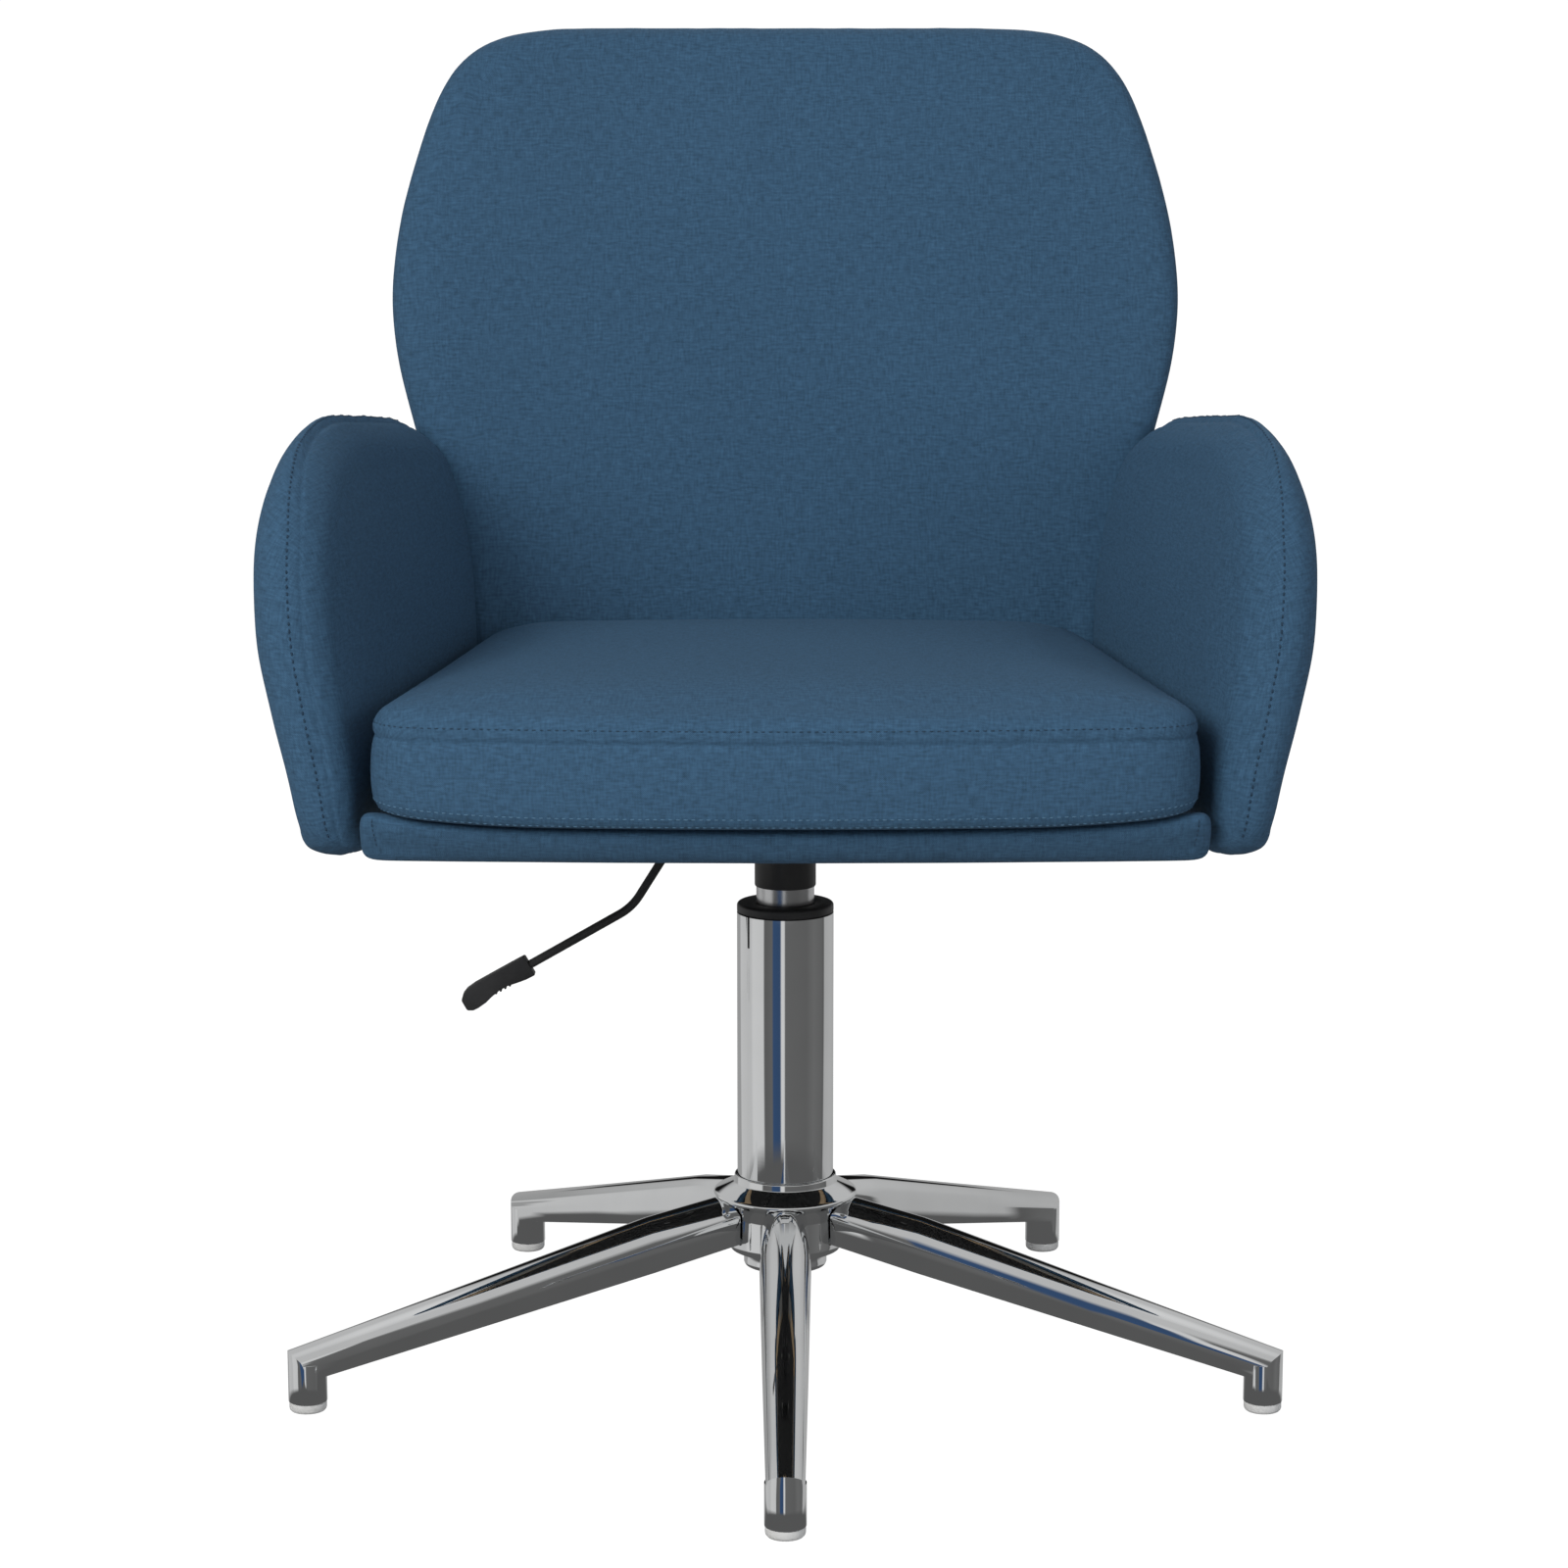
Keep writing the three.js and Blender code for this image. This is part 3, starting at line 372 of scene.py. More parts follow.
HUB_PROFILE = [
    (30.35, 78), (22.5, 78), (22, 77.5), (22, 64.6), (22.6, 64), (25.4, 64.6), (26, 66), (26, 67.5),
    (26, 74.6), (32.6, 74.6), (34.6, 75.6), (35.5, 78.4), (35.5, 80), (35.5, 96.6), (35.5, 98),
    (36.2, 102), (38.4, 106), (42.6, 109), (44.4, 110), (45, 111),
    (44.4, 112.3), (43, 113), (32.6, 118.2), (31.9, 118.8), (31.8, 122.6), (31.2, 123.2), (30.35, 123.2),
]
hub = turned("hub_casting", HUB_PROFILE, steps=128, closed=True)
soft_edges(hub, 0.0004, 2)
finish_piece(hub, "base", chrome, "chrome", "hub")

# ---------------------------------------------------------------------------------------------
# Legs: five alike, drawn from flat-bottomed tube with an arched top that slims towards the foot, the
# foot post welded under the end, then chromed. Each slips over a hub arm and takes two bolts below.
LEG_NAMES = ("front", "front_right", "rear_right", "rear_left", "front_left")
LEG_TURNS = [math.radians(72 * number - 90) for number in range(5)]
FOOT_DISTANCE, FOOT_RADIUS = 0.305, 0.0118
LEG_STATIONS = ((34, 15.4), (90, 17), (200, 14.6), (322, 11.6))
HUB_GAP = 0.8  # millimetres between a leg's end and the hub


def leg_top(distance):
    return float(np.interp(distance, [28, 90, 200, 325], [113.8, 101.2, 70.3, 35.6])) / 1000


def leg_bottom(distance):
    return (82.6 + (distance - 34) * (16.6 - 82.6) / 291) / 1000


bpy.ops.object.select_all(action="DESELECT")
bpy.ops.mesh.primitive_cube_add(size=2, location=(0, 0, 0))
leg = bpy.context.object
leg.name = "leg_bar"
ARCH = 0.57  # share of the leg's height that is arched
bpy.ops.object.mode_set(mode="EDIT")
bpy.ops.mesh.select_mode(type="EDGE")
bpy.ops.transform.resize(value=(0.144, 1, 1 / (2 * ARCH)), center_override=(0, 0, 0))
bpy.ops.transform.translate(value=(0.178, 0, 1 / (2 * ARCH)))
bpy.ops.object.mode_set(mode="OBJECT")
for vertex in leg.data.vertices:
    vertex.co.y *= 0.86 if vertex.co.z < 0.1 else 1  # the sides lean in towards the underside
for edge in leg.data.edges:
    edge.select = all(leg.data.vertices[v].co.z > 1 / ARCH - 0.01 for v in edge.vertices) and abs(
        leg.data.vertices[edge.vertices[0]].co.x - leg.data.vertices[edge.vertices[1]].co.x) > 0.1
for part in (leg.data.vertices, leg.data.polygons):
    for each in part:
        each.select = False
for edge in leg.data.edges:
    if edge.select:
        for v in edge.vertices:
            leg.data.vertices[v].select = True
bpy.ops.object.mode_set(mode="EDIT")
bpy.ops.mesh.bevel(offset=0.998, offset_type="OFFSET", segments=14, profile=0.5, affect="EDGES",
                   clamp_overlap=True)
bpy.ops.mesh.select_all(action="SELECT")
bpy.ops.mesh.remove_doubles(threshold=0.01)
for distance, _ in LEG_STATIONS[1:-1]:
    bpy.ops.mesh.select_all(action="SELECT")
    bpy.ops.mesh.bisect(plane_co=(distance / 1000, 0, 0), plane_no=(1, 0, 0))
bpy.ops.object.mode_set(mode="OBJECT")
for distance, half in LEG_STATIONS:
    x = distance / 1000
    for vertex in leg.data.vertices:
        vertex.select = abs(vertex.co.x - x) < 0.001
    for part in (leg.data.edges, leg.data.polygons):
        for each in part:
            each.select = False
    bpy.ops.object.mode_set(mode="EDIT")
    bpy.ops.mesh.select_mode(type="VERT")
    height = leg_top(distance) - leg_bottom(distance)
    bpy.ops.transform.resize(value=(1, half / 1000, height * ARCH), center_override=(x, 0, 0))
    bpy.ops.transform.translate(value=(0, 0, leg_bottom(distance)))
    bpy.ops.object.mode_set(mode="OBJECT")


def boolean(piece, tool, operation):
    """Cuts, joins or intersects a piece with a tool solid, and removes the tool."""
    apply_modifier(piece, "BOOLEAN", object=tool, operation=operation, solver="EXACT")
    bpy.data.objects.remove(tool)


bpy.ops.mesh.primitive_cylinder_add(vertices=64, radius=FOOT_RADIUS, depth=0.2,
                                    location=(FOOT_DISTANCE, 0, 0.05))
plan = bpy.context.object
bpy.ops.object.transform_apply(location=True, rotation=True, scale=True)
bpy.ops.mesh.primitive_cube_add(size=1, location=((0.02 + FOOT_DISTANCE) / 2, 0, 0.05))
block = bpy.context.object
block.scale = (FOOT_DISTANCE - 0.02, 0.05, 0.3)
bpy.ops.object.transform_apply(location=True, rotation=True, scale=True)
boolean(plan, block, "UNION")
boolean(leg, plan, "INTERSECT")
around_hub = [(r + HUB_GAP, z) for r, z in HUB_PROFILE[5:-1]]
clearance = turned("clearance", [(0, 60)] + around_hub + [(0, 123.2)], steps=128)
boolean(leg, clearance, "DIFFERENCE")
bpy.ops.mesh.primitive_cylinder_add(vertices=64, radius=FOOT_RADIUS, depth=0.0245,
                                    location=(FOOT_DISTANCE, 0, 0.00635 + 0.01225))
post = bpy.context.object
bpy.ops.object.transform_apply(location=True, rotation=True, scale=True)
boolean(leg, post, "UNION")
only(leg)
bpy.ops.object.mode_set(mode="EDIT")
bpy.ops.mesh.select_all(action="SELECT")
bpy.ops.mesh.remove_doubles(threshold=0.00002)
bpy.ops.object.mode_set(mode="OBJECT")
soft_edges(leg, 0.0006, 2, angle=38)


def copy_of(source, name):
    """A copy of a piece with a mesh of its own."""
    piece = source.copy()
    piece.data = source.data.copy()
    piece.name = name
    bpy.context.collection.objects.link(piece)
    return piece


for name, turn in zip(LEG_NAMES, LEG_TURNS):
    piece = copy_of(leg, f"leg_bar_{name}")
    piece.rotation_euler = (0, 0, turn)
    finish_piece(piece, "base", chrome, "chrome", f"leg_{name}")
bpy.data.objects.remove(leg)

# ---------------------------------------------------------------------------------------------
# Leg bolts: ten dome-headed bolts, two under each leg, zinc plated with a hexagon socket. They draw the
# leg up against its hub arm.
LEG_SLOPE = math.atan2(leg_bottom(0) - leg_bottom(100), 0.1)
bolt = turned("bolt", [(0, -3.25), (1.6, -3.2), (3.4, -2.55), (4.8, -1.4), (5.3, -0.6), (5.3, -0.3),
                       (2.6, -0.3), (2.6, 13.5), (2.2, 14), (0, 14)], steps=32)
bpy.ops.mesh.primitive_cylinder_add(vertices=6, radius=0.0019, depth=0.003, location=(0, 0, -0.0031))
boolean(bolt, bpy.context.object, "DIFFERENCE")
only(bolt)
bpy.ops.object.shade_smooth_by_angle(angle=math.radians(35))
for name, turn in zip(LEG_NAMES, LEG_TURNS):
    for number, distance in ((1, 51), (2, 79)):
        piece = copy_of(bolt, f"dome_bolt_{name}_{number}")
        piece.matrix_world = (Matrix.Rotation(turn, 4, "Z")
                              @ Matrix.Translation((distance / 1000, 0, leg_bottom(distance)))
                              @ Matrix.Rotation(LEG_SLOPE, 4, "Y"))
        finish_piece(piece, "base", zinc, "zinc", f"leg_bolt_{name}_{number}")
bpy.data.objects.remove(bolt)

# ---------------------------------------------------------------------------------------------
# Glides: five pale moulded caps pushed up into the foot posts, with a rounded rim and a flat sole that
# is scuffed by the floor.
pale_plastic, nodes, links, shader = new_material("pale_nylon")
place = nodes.new("ShaderNodeTexCoord").outputs["Object"]
scuffs = noise_at(nodes, links, place, 420, 4, 0.65)
cloud = noise_at(nodes, links, place, 60, 2)
faint = math_node(nodes, links, "MULTIPLY", cloud, 0.65)
tone = math_node(nodes, links, "MULTIPLY_ADD", scuffs, 0.35, faint)
links.new(colour_ramp(nodes, links, tone, [(0.3, (0.55, 0.55, 0.54)), (0.65, (0.68, 0.68, 0.675))]),
          shader.inputs["Base Color"])
links.new(colour_ramp(nodes, links, scuffs, [(0.3, 0.32), (0.7, 0.55)]), shader.inputs["Roughness"])
shader.inputs["Subsurface Weight"].default_value = 0.15
shader.inputs["Subsurface Radius"].default_value = (0.003, 0.003, 0.003)
add_relief(nodes, links, shader, scuffs, 0.15, 0.0003)

glide = turned("glide", [(0, 0.02), (9.2, 0.02), (10.3, 0.4), (11.1, 1.3), (11.4, 2.4), (11.4, 5.6),
                         (11.1, 6), (8.8, 6), (8.8, 18.6), (8.4, 19), (0, 19)], steps=64)
soft_edges(glide, 0.0003, 2)
for name, turn in zip(LEG_NAMES, LEG_TURNS):
    piece = copy_of(glide, f"glide_cap_{name}")
    piece.matrix_world = Matrix.Rotation(turn, 4, "Z") @ Matrix.Translation((FOOT_DISTANCE, 0, 0))
    finish_piece(piece, "base", pale_plastic, "pale_plastic", f"glide_{name}")
bpy.data.objects.remove(glide)

# ---------------------------------------------------------------------------------------------
# Column tube: seamed steel tube, polished and chromed, with a short slot sawn down from its top edge
# that locks the guide bush. It stands in the hub's bore.
tube = turned("column_outer_tube", [(28, 78.3), (30, 78.3), (30, 289.8), (28, 289.8)], steps=160,
              closed=True)
SLOT_TURN = math.radians(-139)
bpy.ops.mesh.primitive_cylinder_add(vertices=24, radius=0.0009, depth=0.012, location=(0.029, 0, 0.2712))
cutter = bpy.context.object
cutter.rotation_euler = (0, math.pi / 2, 0)
bpy.ops.object.transform_apply(location=True, rotation=True, scale=True)
bpy.ops.mesh.primitive_cube_add(size=1, location=(0.029, 0, 0.2862))
block = bpy.context.object
block.scale = (0.012, 0.0018, 0.03)
bpy.ops.object.transform_apply(location=True, rotation=True, scale=True)
boolean(cutter, block, "UNION")
cutter.rotation_euler = (0, 0, SLOT_TURN)
boolean(tube, cutter, "DIFFERENCE")
soft_edges(tube, 0.0003, 2, angle=40)
finish_piece(tube, "base", chrome, "chrome", "column_tube")

# ---------------------------------------------------------------------------------------------
# Guide bush: black moulded nylon, pushed into the tube's top, its rim lying on the tube. The gas
# cylinder slides in it. The plate and the bearing at the tube's foot are plain steel, out of sight.
black_plastic, nodes, links, shader = new_material("black_nylon")
place = nodes.new("ShaderNodeTexCoord").outputs["Object"]
grain = noise_at(nodes, links, place, 900, 3, 0.6)
wear = noise_at(nodes, links, place, 35, 3)
links.new(colour_ramp(nodes, links, wear, [(0.35, (0.02, 0.02, 0.0205)), (0.7, (0.031, 0.031, 0.032))]),
          shader.inputs["Base Color"])
links.new(colour_ramp(nodes, links, wear, [(0.3, 0.42), (0.7, 0.6)]), shader.inputs["Roughness"])
add_relief(nodes, links, shader, grain, 0.35, 0.0002)

bush = turned("guide_bush_moulding", [(18.35, 216), (27.6, 216), (27.6, 290.15), (29.4, 290.15), (30, 290.8),
                                      (30, 294.8), (29.2, 295.8), (28.6, 296), (19.6, 296), (18.35, 295.2)],
              steps=128, closed=True)
soft_edges(bush, 0.0004, 2)
finish_piece(bush, "base", black_plastic, "black_plastic", "guide_bush")
satin_steel = metal("satin_steel", (0.62, 0.625, 0.63), 0.22, 0.1, 0.1)
dress(["column_bottom_plate"], zinc)
dress(["bearing_race_lower", "bearing_ball_cage"], satin_steel)

# ---------------------------------------------------------------------------------------------
# What swivels inside the column: the ground piston rod, the race that it turns on, its rubber bumper
# and the clip that holds it. None of it shows while the column is whole.
rubber, nodes, links, shader = new_material("black_rubber")
place = nodes.new("ShaderNodeTexCoord").outputs["Object"]
bloom = noise_at(nodes, links, place, 120, 4)
links.new(colour_ramp(nodes, links, bloom, [(0.3, 0.009), (0.75, 0.022)]), shader.inputs["Base Color"])
shader.inputs["Roughness"].default_value = 0.8
add_relief(nodes, links, shader, bloom, 0.3, 0.0003)
dress(["piston_rod", "bearing_race_upper"], satin_steel)
dress(["rubber_bumper"], rubber)
dress(["retaining_clip"], zinc)

# ---------------------------------------------------------------------------------------------
# Gas cylinder: drawn steel tube, satin plated, sliding in the bush. Over its top a black painted
# steel sleeve is welded to the seat plate and grips the cylinder's taper.
cylinder = turned("gas_cylinder_body", [(5.4, 100), (16.6, 100), (18, 101.4), (18, 306.5), (16.6, 345),
                                        (5.4, 345)], steps=96, closed=True)
soft_edges(cylinder, 0.0003, 2)
finish_piece(cylinder, "seat", satin_steel, "satin_steel", "gas_cylinder")

black_paint, nodes, links, shader = new_material("black_powder_coat")
place = nodes.new("ShaderNodeTexCoord").outputs["Object"]
orange_peel = noise_at(nodes, links, place, 700, 2)
wear = noise_at(nodes, links, place, 40, 4)
links.new(colour_ramp(nodes, links, wear, [(0.35, (0.019, 0.019, 0.0195)), (0.72, (0.029, 0.029, 0.029))]),
          shader.inputs["Base Color"])
links.new(colour_ramp(nodes, links, wear, [(0.3, 0.4), (0.75, 0.58)]), shader.inputs["Roughness"])
add_relief(nodes, links, shader, orange_peel, 0.3, 0.0003)
sleeve = turned("socket_sleeve_tube", [(18.35, 306.5), (18.7, 306.5), (19, 307.2), (19, 345.6), (18.6, 346),
                                       (17, 346)], steps=96, closed=True)
soft_edges(sleeve, 0.0003, 2)
finish_piece(sleeve, "seat", black_paint, "black_paint", "socket_sleeve")

# ---------------------------------------------------------------------------------------------
# Seat plate and its fittings: a pressed hat section in black paint, four zinc bolts up into the
# board, and the nylon bush that the lever turns in.
dress(["seat_plate"], black_paint)
dress(["lever_bush"], black_plastic)
dress([f"plate_bolt_{n}" for n in (1, 2, 3, 4)] + [f"arm_bolt_{n}" for n in (1, 2, 3, 4)]
      + ["back_bolt_1", "back_bolt_2"], zinc)
dress(["arm_bracket_left", "arm_bracket_right", "back_bracket"], zinc)

# ---------------------------------------------------------------------------------------------
# Seat board: 12 mm plywood, its plies showing on the edges and a birch figure on the faces. It
# carries the cushion above, and the plate, the brackets and the dust cover below.
plywood, nodes, links, shader = new_material("birch_plywood")
place = nodes.new("ShaderNodeTexCoord").outputs["Object"]
figure = nodes.new("ShaderNodeMapping")
figure.inputs["Scale"].default_value = (9, 70, 70)
links.new(place, figure.inputs["Vector"])
grain = noise_at(nodes, links, figure.outputs[0], 1.6, 5, 0.6)
parts = nodes.new("ShaderNodeSeparateXYZ")
links.new(place, parts.inputs[0])
PLY_PITCH = 0.0036
layers = math_node(nodes, links, "MULTIPLY", parts.outputs["Z"], FULL_TURN / PLY_PITCH)
plies = math_node(nodes, links, "SINE", layers)
tone = math_node(nodes, links, "MULTIPLY_ADD", plies, 0.12, grain)
links.new(colour_ramp(nodes, links, tone, [(0.3, (0.36, 0.23, 0.12)), (0.75, (0.62, 0.45, 0.27))]),
          shader.inputs["Base Color"])
shader.inputs["Roughness"].default_value = 0.7
add_relief(nodes, links, shader, tone, 0.2, 0.0005)
dress(["seat_board"], plywood)

# ---------------------------------------------------------------------------------------------
# Dust cover: thin black spun cloth stretched over the seat's underside, stapled to the board round
# its edge, with a hem turned in.
dust_cloth, nodes, links, shader = new_material("spun_dust_cloth")
place = nodes.new("ShaderNodeTexCoord").outputs["Object"]
fibres = noise_at(nodes, links, place, 1400, 3, 0.7)
dimples = nodes.new("ShaderNodeTexVoronoi")
dimples.inputs["Scale"].default_value = 600
links.new(place, dimples.inputs["Vector"])
tone = math_node(nodes, links, "MULTIPLY_ADD", dimples.outputs["Distance"], 0.5, fibres)
links.new(colour_ramp(nodes, links, tone, [(0.35, 0.008), (0.9, 0.03)]), shader.inputs["Base Color"])
shader.inputs["Roughness"].default_value = 0.9
add_relief(nodes, links, shader, tone, 0.5, 0.0004)

low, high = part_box("dust_cover")
COVER_Z = (low.z + high.z) / 2
cover_front_half, cover_rear_half = high.x, high.x - 0.028
bpy.ops.object.select_all(action="DESELECT")
bpy.ops.mesh.primitive_grid_add(x_subdivisions=44, y_subdivisions=34, size=2, location=(0, 0, 0))
cover = bpy.context.object
cover.name = "dust_cover_cloth"
for vertex in cover.data.vertices:
    across, along = vertex.co.x, (vertex.co.y + 1) / 2
    half = cover_front_half + (cover_rear_half - cover_front_half) * along
    sag = 0.0011 * (1 - across ** 4) * (1 - (2 * along - 1) ** 4)
    ripple = 0.0005 * noise.noise((across * 9, along * 7, 0.3)) * (1 - across ** 8)
    vertex.co = (across * half, low.y + (high.y - low.y) * along, COVER_Z - sag * 0.5 + ripple)
apply_modifier(cover, "SOLIDIFY", thickness=0.0005, offset=0)
only(cover)
bpy.ops.object.shade_smooth_by_angle(angle=math.radians(40))
finish_piece(cover, "seat", dust_cloth, "dust_cloth", "dust_cover")

# ---------------------------------------------------------------------------------------------
# The upholstery cloth: a linen-look weave in petrol blue with slubs along both threads, over foam.
# Front rail: the seat frame's padded front bar, its cloth pulled round the ends and under, and
# gathered at the corners.
woven_cloth, nodes, links, start, end = new_group(
    "woven_cloth",
    [("Place", "NodeSocketVector", None), ("Cloth", "NodeSocketColor", (0.04, 0.1, 0.17, 1)),
     ("Slubs", "NodeSocketFloat", 0.9), ("Weave", "NodeSocketFloat", 0.16)],
    [("Color", "NodeSocketColor"), ("Height", "NodeSocketFloat"), ("Roughness", "NodeSocketFloat")])
slubs = []
for scale in ((150, 640, 1), (700, 135, 1)):
    stretch = nodes.new("ShaderNodeVectorMath")
    stretch.operation = "MULTIPLY"
    stretch.inputs[1].default_value = scale
    links.new(start.outputs["Place"], stretch.inputs[0])
    slubs.append(noise_at(nodes, links, stretch.outputs[0], 1.0, 2.5, 0.55))
parts = nodes.new("ShaderNodeSeparateXYZ")
links.new(start.outputs["Place"], parts.inputs[0])
THREAD = 0.00105
threads = []
for axis in ("X", "Y"):
    across = math_node(nodes, links, "MULTIPLY", parts.outputs[axis], FULL_TURN / THREAD)
    threads.append(math_node(nodes, links, "SINE", across))
weave = math_node(nodes, links, "MULTIPLY", *threads)
broad = noise_at(nodes, links, start.outputs["Place"], 9, 3)
both = math_node(nodes, links, "ADD", math_node(nodes, links, "MULTIPLY", slubs[0], 1.1),
                 math_node(nodes, links, "MULTIPLY", slubs[1], 0.9))
swelling = math_node(nodes, links, "SUBTRACT", both, 1.0)
uneven = math_node(nodes, links, "MULTIPLY", swelling, start.outputs["Slubs"])
crossing = math_node(nodes, links, "MULTIPLY", weave, start.outputs["Weave"])
patchy = math_node(nodes, links, "MULTIPLY", math_node(nodes, links, "SUBTRACT", broad, 0.5), 0.12)
factor = math_node(nodes, links, "ADD", math_node(nodes, links, "ADD", uneven, crossing),
                   math_node(nodes, links, "ADD", patchy, 1.0))
tint = nodes.new("ShaderNodeVectorMath")
tint.operation = "SCALE"
links.new(start.outputs["Cloth"], tint.inputs[0])
links.new(factor, tint.inputs["Scale"])
links.new(tint.outputs[0], end.inputs["Color"])
links.new(math_node(nodes, links, "MULTIPLY_ADD", weave, 0.35, both), end.inputs["Height"])
links.new(math_node(nodes, links, "MULTIPLY_ADD", both, 0.12, 0.76), end.inputs["Roughness"])


def upholstery(name, colour, slubs=0.9, weave=0.16, sheen=0.05):
    """The cloth on the piece's own UV map, which is in metres along the threads."""
    material, nodes, links, shader = new_material(name)
    cloth = nodes.new("ShaderNodeGroup")
    cloth.node_tree = woven_cloth
    cloth.inputs["Cloth"].default_value = (*colour, 1)
    cloth.inputs["Slubs"].default_value = slubs
    cloth.inputs["Weave"].default_value = weave
    links.new(nodes.new("ShaderNodeTexCoord").outputs["UV"], cloth.inputs["Place"])
    links.new(cloth.outputs["Color"], shader.inputs["Base Color"])
    links.new(cloth.outputs["Roughness"], shader.inputs["Roughness"])
    shader.inputs["Specular IOR Level"].default_value = 0.25
    shader.inputs["Sheen Weight"].default_value = sheen
    shader.inputs["Sheen Roughness"].default_value = 0.5
    shader.inputs["Sheen Tint"].default_value = (0.35, 0.55, 0.75, 1)
    add_relief(nodes, links, shader, cloth.outputs["Height"], 0.5, 0.0004)
    return material


CLOTH_BLUE = (0.0367, 0.0857, 0.149)
cloth = upholstery("petrol_linen", CLOTH_BLUE)


def curve_through(pairs):
    """A smooth function through (input, output) pairs, without overshoot."""
    xs, ys = (np.array(column, float) for column in zip(*pairs))
    steps = np.diff(ys) / np.diff(xs)
    slopes = np.zeros(len(xs))
    slopes[0], slopes[-1] = steps[0], steps[-1]
    for k in range(1, len(xs) - 1):
        if steps[k - 1] * steps[k] > 0:
            slopes[k] = 2 * steps[k - 1] * steps[k] / (steps[k - 1] + steps[k])

    def value(x):
        x = np.clip(np.asarray(x, float), xs[0], xs[-1])
        k = np.clip(np.searchsorted(xs, x, side="right") - 1, 0, len(xs) - 2)
        width = xs[k + 1] - xs[k]
        t = (x - xs[k]) / width
        return ((2 * t ** 3 - 3 * t ** 2 + 1) * ys[k] + (t ** 3 - 2 * t ** 2 + t) * width * slopes[k]
                + (-2 * t ** 3 + 3 * t ** 2) * ys[k + 1] + (t ** 3 - t ** 2) * width * slopes[k + 1])
    return value


def even_loop(corners, rounds, counts):
    """A closed outline through corner points in the plane, with rounded corners, spaced evenly between the
    four corners that start the panel's sides. corners is a list of sides, each a list of points."""
    loop = []
    for side, count in zip(corners, counts):
        side = np.array(side, float)
        length = np.concatenate([[0], np.cumsum(np.linalg.norm(np.diff(side, axis=0), axis=1))])
        at = np.linspace(0, length[-1], count + 1)[:-1]
        loop.extend(np.stack([np.interp(at, length, side[:, k]) for k in (0, 1)], 1))
    loop = np.array(loop)
    for _ in range(rounds):
        loop = 0.5 * loop + 0.25 * (np.roll(loop, 1, 0) + np.roll(loop, -1, 0))
    return loop


def loop_normals(loop):
    """Outward directions of an anticlockwise outline."""
    along = np.roll(loop, -1, 0) - np.roll(loop, 1, 0)
    along /= np.linalg.norm(along, axis=1)[:, None]
    return np.stack([along[:, 1], -along[:, 0]], 1)


def fill_patch(loop, nu, nv):
    """A grid of points inside an outline of 2 * (nu + nv) points."""
    bottom, right = loop[:nu + 1], loop[nu:nu + nv + 1]
    top = loop[nu + nv:2 * nu + nv + 1][::-1]
    left = np.concatenate([loop[2 * nu + nv:], loop[:1]])[::-1]
    u = np.linspace(0, 1, nu + 1)[:, None, None]
    v = np.linspace(0, 1, nv + 1)[None, :, None]
    grid = ((1 - v) * bottom[:, None] + v * top[:, None] + (1 - u) * left[None] + u * right[None]
            - (1 - u) * (1 - v) * bottom[0] - u * (1 - v) * bottom[-1]
            - (1 - u) * v * top[0] - u * v * top[-1])
    return grid


